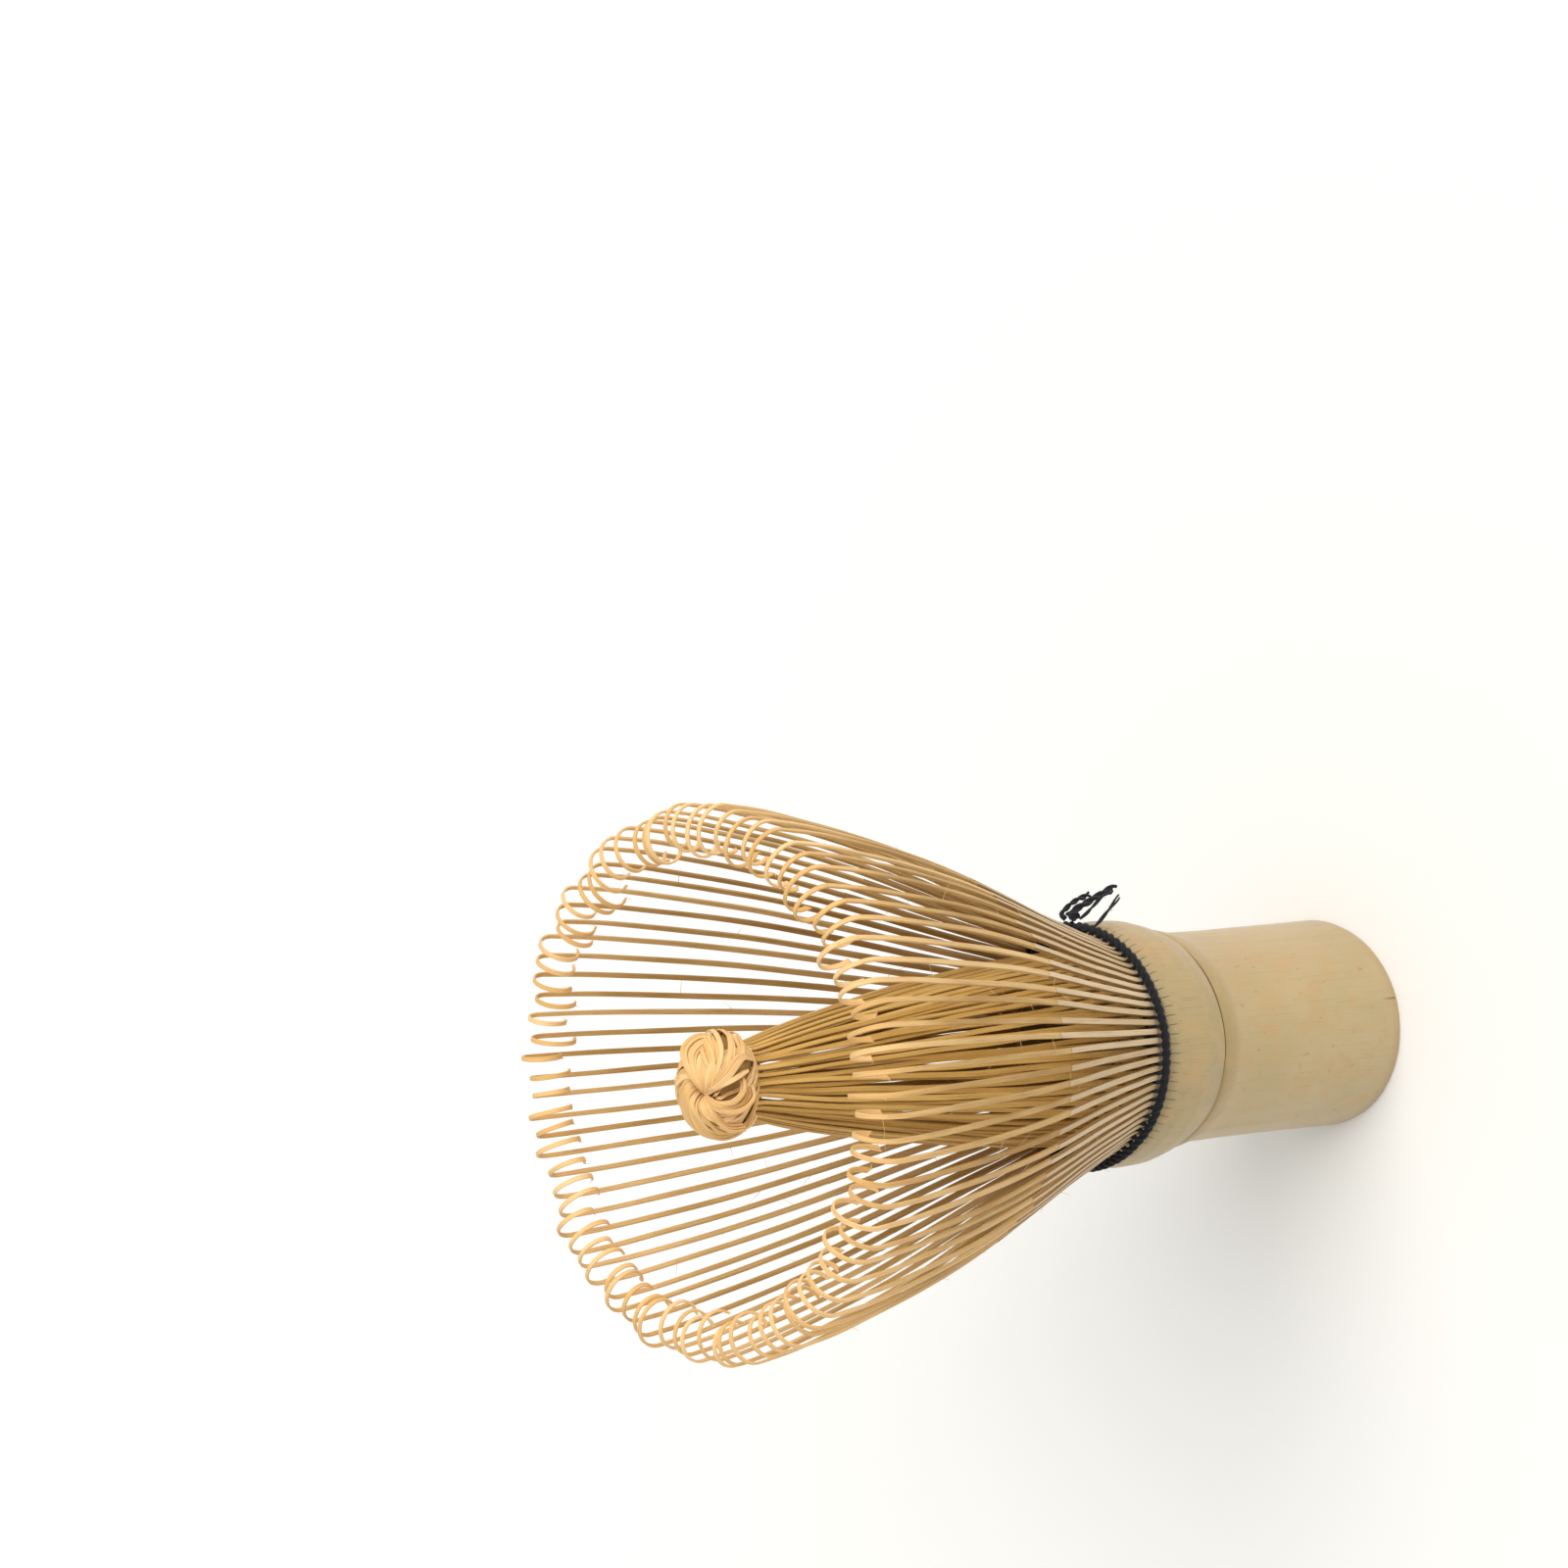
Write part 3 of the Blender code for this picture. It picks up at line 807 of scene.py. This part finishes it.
def add_burr(strips, tip, along, across, outward, chance):
    """The little turned-back splinter that the cut leaves at a tip's longer corner."""
    t = np.linspace(0, 1, 6)[:, None]
    length = chance.uniform(0.25, 0.6)
    path = tip + across * (0.22 + 0.4 * length * t) + along * (0.12 - 0.2 * length * t)
    path = path + outward * length * t * t * chance.choice((-1, 1))
    rings = tube_rings(path, np.linspace(0.055, 0.02, 6), 5)
    strips.add(rings, along=np.linspace(70, 71, 6), cross=0.1, chance=0.95, skin=0.0)


def add_stray_fibre(strips, tine, chance):
    """A hair-thin splinter that stands off one edge of a tine."""
    points, across, outward, widths = tine
    place = chance.randrange(8, 46)
    edge = chance.choice((-1, 1))
    along = unit(points[place + 1] - points[place])
    start = points[place] + across[place] * edge * widths[place] * 0.45
    length = chance.uniform(0.7, 2.4)
    sweep = chance.uniform(0.1, 1.2)
    rise = chance.uniform(-0.2, 0.5)
    away = unit(across[place] * edge * sweep + along * chance.uniform(-0.2, 1.0) + outward[place] * rise)
    bow = outward[place] * chance.uniform(-0.2, 0.3) + along * chance.uniform(-0.3, 0.3)
    t = np.linspace(0, 1, 7)[:, None]
    path = start + away * length * t + bow * length * t * t
    rings = tube_rings(path, np.linspace(0.030, 0.010, 7), 4)
    strips.add(rings, along=np.linspace(40, 44, 7), cross=0.1, chance=0.9, skin=0.0)


def add_hanging_hair(strips, tip):
    """One very fine fibre that hangs from a tip, across its neighbours."""
    offsets = [(0, 0, 0), (-1.6, 0.1, -0.4), (-3.4, 0.5, -0.9), (-5.0, 0.4, -1.7)]
    path = smooth_path(np.array(tip) + np.array(offsets), 18)
    rings = tube_rings(path, np.linspace(0.022, 0.012, 18), 4)
    strips.add(rings, along=np.linspace(60, 64, 18), cross=0.1, chance=0.9, skin=0.0)


def build_outer_splits(material):
    """The outer tines, one piece for each primary split."""
    ways = tine_variations()
    for split in range(SPLIT_COUNT):
        chance = random.Random(OUTER_SEED + split)
        strips = Strips()
        first = split * TINES_PER_SPLIT
        tines = [add_outer_tine(strips, way, chance) for way in ways[first : first + TINES_PER_SPLIT]]
        for _ in range(STRAY_FIBRES):
            add_stray_fibre(strips, chance.choice(tines), chance)
        if split == HAIR_SPLIT:
            add_hanging_hair(strips, tines[-1][0][-1])
        number = f"{split + 1:02d}"
        piece = strips.build(f"fan_of_tines_{number}", material)
        middle = (split + 0.5) * SPLIT_ANGLE
        start = polar(BEND_FROM[0], middle, BEND_FROM[1]) * MM
        end = polar(BEND_TO[0], middle, BEND_TO[1]) * MM
        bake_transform(piece)
        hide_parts(f"outer_tines_{number}")


# -------- inner tines


def add_inner_tine(strips, index, chance):
    """One tine of the cone, in the nearer or the further layer, swaying a little on its way up."""
    angle = (index + 0.5) * TINE_ANGLE
    heights = np.linspace(ROOT_BOTTOM, INNER_TOP, 46)
    share = (heights - heights[0]) / (heights[-1] - heights[0])
    layer = (0.16 if index % 2 else -0.14) * np.clip(share * 2 - 0.6, 0, 1)
    on_line = np.clip(heights, INNER_LINE[0][0], INNER_LINE[-1][0])
    radii = smooth_value(INNER_LINE, on_line) + layer
    radii = radii + wander(chance, share, 0.8, 0.10) * np.clip(share * 5, 0, 1)
    sway = wander(chance, share, 1.1, 0.30) * np.clip(share * 4, 0, 1)
    angles = angle + sway / radii
    points = polar(radii, angles, heights)
    along = unit(np.gradient(points, axis=0))
    across = np.stack([-np.sin(angles), np.cos(angles), np.zeros_like(angles)], axis=-1)
    roll = math.radians(chance.uniform(-14, 14)) * np.clip(share * 3, 0, 1)
    outward = unit(np.cross(across, along))
    across, outward = (
        across * np.cos(roll)[:, None] + outward * np.sin(roll)[:, None],
        outward * np.cos(roll)[:, None] - across * np.sin(roll)[:, None],
    )
    wide = chance.uniform(0.88, 1.1)
    widths = np.interp(share, [0, 0.3, 0.75, 1], [0.60, 0.60, 0.48, 0.38]) * wide
    widths = widths * (1 + wander(chance, share, 0.4, 0.06))
    thick = np.interp(share, [0, 0.5, 1], [0.50, 0.32, 0.20])
    rings, cross = ribbon_rings(points, across, outward, widths, thick, EDGE_CHAMFER)
    strips.add(rings, along=lengths_along(points) * 0.95, cross=cross, chance=chance.random(), skin=0.0)


def build_inner_splits(material):
    """The inner tines, one piece for each primary split."""
    for split in range(SPLIT_COUNT):
        chance = random.Random(INNER_SEED + split)
        strips = Strips()
        for tine in range(TINES_PER_SPLIT):
            add_inner_tine(strips, split * TINES_PER_SPLIT + tine, chance)
        number = f"{split + 1:02d}"
        piece = strips.build(f"cone_of_tines_{number}", material)
        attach(piece, "culm")
        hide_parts(f"inner_tines_{number}")


# -------- knot


def knot_point(radius, angle, height):
    """Points of the knot, which is longer along X and leans towards -Y above its neck."""
    rise = np.maximum(height - KNOT_BOTTOM, 0.0)
    sunk = np.minimum(height - KNOT_BOTTOM, 0.0)
    share = np.minimum(rise / KNOT_TILT_SPAN, 1.0)
    shaped = share * share * (3 - 2 * share)
    tilt = KNOT_TILT * shaped
    x = radius * np.cos(angle) * (1 + (KNOT_STRETCH_X - 1) * shaped)
    y = radius * np.sin(angle) * (1 + (KNOT_STRETCH_Y - 1) * shaped)
    leant = y * np.cos(tilt) - rise * np.sin(tilt)
    raised = KNOT_BOTTOM + sunk + rise * np.cos(tilt) + y * np.sin(tilt)
    return np.stack(np.broadcast_arrays(x, leant, raised), axis=-1)


def knot_surface(rows, angles, lift):
    """Points over the knot's skin at places along its outline, counted in rows.

    The side with the opening is flatter and has a hollow. The lift is measured away from the knot's ring.
    """
    heights, radii = (smooth_value(list(enumerate(column)), rows) for column in zip(*KNOT_ROWS))
    facing = np.clip(np.cos(angles - KNOT_OPENING_ANGLE), 0, 1)
    radii = radii * (1 - KNOT_HOLLOW_DEPTH * facing**1.5 * bell(rows, KNOT_HOLLOW_ROW, KNOT_HOLLOW_SPAN))
    radii = radii * (1 - KNOT_OPENING_DEPTH * facing**5 * bell(rows, KNOT_OPENING_ROW, KNOT_OPENING_SPAN))
    away = np.stack([radii - KNOT_RING[0], heights - KNOT_RING[1]], axis=-1)
    away = unit(away) * np.asarray(lift)[..., None]
    return knot_point(np.maximum(radii + away[..., 0], 0.25), angles, heights + away[..., 1])


def add_ribbon(strips, points, outward, widths, chance):
    """A thin flat strip along points, with its face turned outwards."""
    along = unit(np.gradient(points, axis=0))
    outward = unit(outward - along * np.sum(outward * along, axis=1, keepdims=True))
    roll = chance.uniform(-RIBBON_ROLL, RIBBON_ROLL)
    outward = outward * math.cos(roll) + np.cross(along, outward) * math.sin(roll)
    across = np.cross(along, outward)
    thick = np.full(len(points), RIBBON_THICKNESS)
    rings, cross = ribbon_rings(points, across, outward, widths, thick, RIBBON_CHAMFER)
    lengths = lengths_along(points) + PALEST_FROM
    strips.add(rings, along=lengths, cross=cross, chance=chance.random(), skin=0.0)


def add_wound_ribbon(strips, chance, start, lift):
    """One strip that winds up over the knot and down into its hole."""
    share = np.linspace(0, 1, WOUND_STEPS)
    first = chance.uniform(1.5, 2.3)
    places = first + share * (chance.uniform(8.6, 10.0) - first)
    twist = KNOT_TWIST * chance.uniform(0.72, 1.3)
    angles = start + twist * share**0.9 + wander(chance, share, 1.2, 0.16)
    lifts = lift + wander(chance, share, 0.8, 0.12)
    points = knot_surface(places, angles, lifts)
    outward = points - knot_surface(places, angles, lifts - 0.2)
    widths = chance.uniform(0.34, 0.54) * np.interp(share, [0, 0.1, 0.8, 1], [0.8, 1, 1, 0.7])
    add_ribbon(strips, points, outward, widths, chance)


def facing_point(right, up, out):
    """A point near the knot, in directions square to the way that its hole faces."""
    centre = np.array(KNOT_CENTRE)
    lean = KNOT_FACE_LEAN
    right_way = np.array([0.0, -math.cos(lean), -math.sin(lean)])
    out_way = np.array([0.0, -math.sin(lean), math.cos(lean)])
    return centre + right * right_way + np.array([up, 0.0, 0.0]) + out * out_way


def add_bowed_ribbon(strips, chance, controls, width):
    """A strip that stands off the knot along its own bowed line."""
    points = smooth_path([facing_point(*control) for control in controls], BOWED_STEPS)
    outward = unit(points - np.array(KNOT_CENTRE))
    tapers = np.interp(np.linspace(0, 1, BOWED_STEPS), [0, 0.15, 0.8, 1], [0.75, 1, 1, 0.7])
    add_ribbon(strips, points, outward, width * tapers, chance)


def between(first, second, share):
    """Points part of the way from one row of points to another."""
    return np.array(first) * (1 - share) + np.array(second) * share


def add_loose_ribbons(strips, chance):
    """The ribbons that show on the knot's near side: a broad swath from the neck, loops and cut ends."""
    for index in range(SWATH_RIBBONS):
        share = index / (SWATH_RIBBONS - 1)
        controls = between(SWATH_OUTER, SWATH_INNER, share) + [0, 0, chance.uniform(-0.2, 0.2)]
        add_bowed_ribbon(strips, chance, controls, chance.uniform(0.36, 0.52) + 0.10 * share)
    for line, count, smallest, largest in RIBBON_FAMILIES:
        for size in np.linspace(smallest, largest, count):
            stretch = np.array([size, size, 1.0]) + [chance.uniform(-0.04, 0.04), 0, 0]
            controls = np.array(line) * stretch + [0, 0, chance.uniform(-0.25, 0.25)]
            add_bowed_ribbon(strips, chance, controls, chance.uniform(0.34, 0.5))
    for index in range(CUT_ENDS):
        foot = np.array([0.7 + 0.32 * index, -4.5 + 0.08 * index, chance.uniform(0.6, 2.2)])
        reach = np.array([0.6, 0.8, 0.2]) * chance.uniform(0.5, 1.3)
        bow = np.array([0.1, -0.1, 0.1])
        controls = [foot - reach * 0.6, foot + bow, foot + reach]
        add_bowed_ribbon(strips, chance, controls, chance.uniform(0.13, 0.24))


def add_knot_core(strips):
    """The inside of the knot, which shows between its strips, in the darker colour of a tine's lower part as
    painted shade.
    """
    places = np.linspace(0.6, 10, 28)
    angles = np.linspace(0, math.tau, 40, endpoint=False)
    grid_places, grid_angles = np.meshgrid(places, angles, indexing="ij")
    rings = knot_surface(grid_places, grid_angles, np.full(grid_places.shape, -KNOT_CORE_DEPTH))
    # Painted shade: an along of 10 mm and a chance of 0 give the core darker bamboo colours than the strips
    # over it.
    strips.add(rings, along=10.0, cross=np.linspace(0, 20, 40)[None, :], chance=0.0, skin=0.0)


def build_knot(material):
    """The tips of the inner tines: strips wound over a core, left out where the knot stands open."""
    chance = random.Random(KNOT_SEED)
    strips = Strips()
    add_knot_core(strips)
    for index in range(KNOT_RIBBONS):
        start = math.tau * (index + chance.uniform(-0.5, 0.5)) / KNOT_RIBBONS
        past_opening = (start + KNOT_TWIST * 0.62 - KNOT_OPENING_ANGLE) % math.tau
        if KNOT_OPENING_WIDTH < past_opening < math.tau - KNOT_OPENING_WIDTH:
            lift = KNOT_LOWEST_LAYER + KNOT_LAYER * ((index * 7) % KNOT_LAYERS)
            add_wound_ribbon(strips, chance, start, lift)
    add_loose_ribbons(strips, chance)
    piece = strips.build("knot_of_tips", material)
    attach(piece, "culm")
    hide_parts("tip_knot")


# -------- culm


def culm_profile():
    """(radius, height) rows from the node wall, over the collar's top, down the outside and up the bore."""
    heights, radii = zip(*CULM_OUTSIDE[::-1])
    coarse = np.linspace(0.5, 29.8, 32)
    fine = np.linspace(30.1, 31.7, 28)
    collar = np.linspace(31.9, COLLAR_TOP, 22)
    outside_heights = np.concatenate([[0.0, 0.06, 0.12, 0.25], coarse, fine, collar])
    outside = [(float(np.interp(h, heights, radii)), float(h)) for h in outside_heights[::-1]]
    rows = [(0.05, NODE_WALL_TOP), (5.0, NODE_WALL_TOP), (CUP_RADIUS - 0.8, NODE_WALL_TOP)]
    rows += [(CUP_RADIUS - 0.24, NODE_WALL_TOP + 0.24), (CUP_RADIUS, NODE_WALL_TOP + 0.8)]
    rows += [(CUP_RADIUS, 36.0), (CUP_RADIUS, COLLAR_TOP), (11.0, COLLAR_TOP)]
    rows += outside
    rows += [(10.5, 0.0), (BORE_RADIUS + 0.5, 0.0), (BORE_RADIUS + 0.15, 0.15), (BORE_RADIUS, 0.5)]
    rows += [(BORE_RADIUS, h) for h in np.linspace(4.0, BORE_DEPTH - 0.8, 8)]
    rows += [(BORE_RADIUS - 0.24, BORE_DEPTH - 0.24), (BORE_RADIUS - 0.8, BORE_DEPTH), (4.0, BORE_DEPTH)]
    rows += [(0.05, BORE_DEPTH)]
    return rows


def build_culm(material):
    """A slightly uneven tube of bamboo with its node groove and swelling collar."""
    chance = random.Random(CULM_SEED)
    phases = [chance.uniform(0, math.tau) for _ in range(5)]
    angles = np.linspace(0, math.tau, CULM_STEPS, endpoint=False)
    rings = []
    for radius, height in culm_profile():
        grown = radius > BORE_RADIUS + 0.6
        uneven = 0.035 * np.sin(2 * angles + phases[0] + height * 0.05)
        uneven = uneven + 0.020 * np.sin(5 * angles + phases[1] - height * 0.09)
        uneven = uneven + 0.012 * np.sin(11 * angles + phases[2] + height * 0.31)
        groove_wave = 0.05 * np.sin(3 * angles + phases[3]) + 0.025 * np.sin(7 * angles + phases[4])
        near_node = bell(height, 30.9, 1.6)
        rings.append(polar(radius + uneven * grown, angles, height + groove_wave * near_node * grown))
    strips = Strips()
    strips.add(np.array(rings))
    piece = strips.build("turned_culm", material, 50)
    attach(piece, "culm")
    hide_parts("handle_culm")


# -------- thread


def add_cord(strips, path, radius, pitch, sides=8):
    """Two plies of thread twisted round one path."""
    first, second = path_frames(path)
    lengths = lengths_along(path)
    for ply in range(2):
        turn = math.tau * (lengths / pitch + ply / 2)
        swing = np.cos(turn)[:, None] * first + np.sin(turn)[:, None] * second
        line = path + swing * radius * 0.40
        rings = tube_rings(line, radius * 0.64, sides)
        cross = np.arange(sides)[None, :] + lengths[:, None] * 2.4
        strips.add(rings, along=lengths, cross=cross + ply * 17)


def add_fuzz(strips, path, radius, chance, count, reach):
    """Short loose fibres that stand off a thread."""
    first, second = path_frames(path)
    for _ in range(count):
        place = chance.randrange(1, len(path) - 2)
        turn = chance.uniform(0, math.tau)
        away = first[place] * math.cos(turn) + second[place] * math.sin(turn)
        along = unit(path[place + 1] - path[place])
        bend = along * chance.uniform(-1.2, 1.2) + away * chance.uniform(-0.6, 0.2)
        length = reach * chance.uniform(0.35, 1.0)
        t = np.linspace(0, 1, 5)[:, None]
        hair = path[place] + away * radius * 0.8 + away * length * t + bend * length * t * t
        rings = tube_rings(hair, np.linspace(0.016, 0.007, 5), 3)
        strips.add(rings, along=np.linspace(0, 1, 5), cross=0.0)


def ring_path(radius, height, chance, count, unevenness):
    """Points of an uneven turn of thread round the tines, which nearly meets itself."""
    angles = np.linspace(0.02, math.tau - 0.02, count)
    places = angles / math.tau
    radii = radius + wander(chance, places, 0.21, unevenness)
    heights = height + wander(chance, places, 0.27, unevenness * 1.6)
    return polar(radii, angles, heights)


def add_link(strips, index, chance):
    """The bit of thread that passes between two tines, from the outer wrap to the inner one."""
    angle = index * TINE_ANGLE
    lift = chance.uniform(-0.1, 0.25)
    radii = np.linspace(*LINK_RADII, 6)
    heights = np.linspace(*LINK_HEIGHTS, 6) + lift
    points = polar(radii, angle, heights)
    across = polar(0.13, angle + math.pi / 2, 0.0)
    upward = np.array([0.0, 0.0, 0.5])
    turns = np.arange(6) * math.tau / 6
    ring = np.cos(turns)[:, None] * across + np.sin(turns)[:, None] * upward
    strips.add(points[:, None, :] + ring[None], along=np.linspace(0, 2, 6), cross=float(index))


def build_threads(material):
    """The outer turn that binds the tines, the inner turn with its links, the tie and the loose ends."""
    chance = random.Random(THREAD_SEED)
    outer = Strips()
    path = ring_path(OUTER_WRAP_RADIUS, THREAD_HEIGHT, chance, 640, 0.05)
    add_cord(outer, path, OUTER_CORD_RADIUS, OUTER_CORD_PITCH)
    add_fuzz(outer, path, 0.42, chance, 620, 0.6)
    thread_piece(outer, "binding_thread", material, "thread_outer_wrap")

    inner = Strips()
    path = ring_path(INNER_WRAP_RADIUS, INNER_WRAP_HEIGHT, chance, 420, 0.03)
    add_cord(inner, path, INNER_CORD_RADIUS, INNER_CORD_PITCH, 6)
    for index in range(TINE_COUNT):
        add_link(inner, index, chance)
    thread_piece(inner, "weaving_thread", material, "thread_inner_wrap")

    build_tie_knot(chance, material)
    build_tails(chance, material)


def build_tie_knot(chance, material):
    """A small knot: a coil of thread with one strand over it."""
    strips = Strips()
    t = np.linspace(0, 1, 150)
    turn = t * math.tau * 3.2
    x = TIE_KNOT_RADIUS + 0.20 * np.cos(turn)
    y = -0.55 + 1.1 * t + 0.10 * np.sin(turn * 0.7)
    z = THREAD_HEIGHT + 0.33 * np.sin(turn)
    add_cord(strips, np.stack([x, y, z], axis=-1), TIE_CORD_RADIUS, TIE_CORD_PITCH)
    over = smooth_path(TIE_OVER, 60)
    add_cord(strips, over, TIE_OVER_RADIUS, TIE_CORD_PITCH)
    add_fuzz(strips, over, 0.3, chance, 20, 0.4)
    thread_piece(strips, "tied_thread", material, "thread_tie_knot")


def build_tails(chance, material):
    """Four loose two-ply ends, each opening a little at its tip."""
    for number, (radius, controls) in enumerate(TAILS):
        strips = Strips()
        path = smooth_path(controls, TAIL_STEPS)
        first, second = path_frames(path)
        opening = np.linspace(0, 1, TAIL_STEPS) ** 6
        spread = radius * (0.42 + 0.7 * opening)
        radii = radius * np.interp(opening, [0, 1], [0.62, 0.45])
        turn = lengths_along(path) * math.tau / (2.6 + number)
        for ply in (0.0, math.pi):
            swing = np.cos(turn + ply)[:, None] * first + np.sin(turn + ply)[:, None] * second
            rings = tube_rings(path + swing * spread[:, None], radii, 8)
            strips.add(rings, along=lengths_along(path), cross=np.arange(8)[None, :])
        add_fuzz(strips, path, radius, chance, 30, 0.35)
        thread_piece(strips, f"loose_thread_{number + 1}", material, f"thread_tail_{number + 1}")


def thread_piece(strips, name, material, node):
    """Builds one piece of thread in place of its CAD node."""
    piece = strips.build(name, material, 60)
    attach(piece, "culm")
    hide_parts(node)


# -------- room


def build_floor():
    mesh = bpy.data.meshes.new("floor")
    corners = [(x * FLOOR_REACH, y * FLOOR_REACH, 0) for x, y in ((-1, -1), (1, -1), (1, 1), (-1, 1))]
    mesh.from_pydata(corners, [], [(0, 1, 2, 3)])
    material = bpy.data.materials.new("pale_floor")
    material.use_nodes = True
    shader = material.node_tree.nodes["Principled BSDF"]
    shader.inputs["Base Color"].default_value = FLOOR_COLOUR
    shader.inputs["Roughness"].default_value = 0.9
    mesh.materials.append(material)
    floor = bpy.data.objects.new("floor", mesh)
    bpy.context.scene.collection.objects.link(floor)


def build_light():
    """Even light from all round and one wide soft lamp."""
    world = bpy.data.worlds.new("studio")
    bpy.context.scene.world = world
    world.use_nodes = True
    background = world.node_tree.nodes["Background"]
    background.inputs["Color"].default_value = SKY_COLOUR
    background.inputs["Strength"].default_value = SKY_STRENGTH
    data = bpy.data.lights.new("key", "SUN")
    data.energy = LAMP_STRENGTH
    data.angle = LAMP_SPREAD
    data.color = LAMP_COLOUR
    lamp = bpy.data.objects.new("key", data)
    z_axis = unit(np.array(LAMP_TOWARDS))
    x_axis = unit(np.cross((0.0, 1.0, 0.0), z_axis))
    y_axis = np.cross(z_axis, x_axis)
    lamp.matrix_world = Matrix(np.stack([x_axis, y_axis, z_axis], axis=1).tolist()).to_4x4()
    bpy.context.scene.collection.objects.link(lamp)
    bpy.context.scene.view_settings.view_transform = "Standard"


def build_camera():
    """The camera, rolled so that the whisk's height runs across the picture."""
    data = bpy.data.cameras.new("camera")
    data.lens = CAMERA_LENS
    data.sensor_width = CAMERA_SENSOR
    data.clip_start = 0.01
    data.clip_end = 20
    camera = bpy.data.objects.new("camera", data)
    camera.matrix_world = Matrix.Translation(CAMERA_POSITION) @ Matrix(CAMERA_AXES).to_4x4()
    bpy.context.scene.collection.objects.link(camera)
    bpy.context.scene.camera = camera


def main():
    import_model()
    outer_bamboo = outer_tine_material()
    build_culm(culm_material())
    build_outer_splits(outer_bamboo)
    build_inner_splits(inner_tine_material())
    build_knot(outer_bamboo)
    build_threads(cotton_material())
    build_floor()
    build_light()
    build_camera()


main()
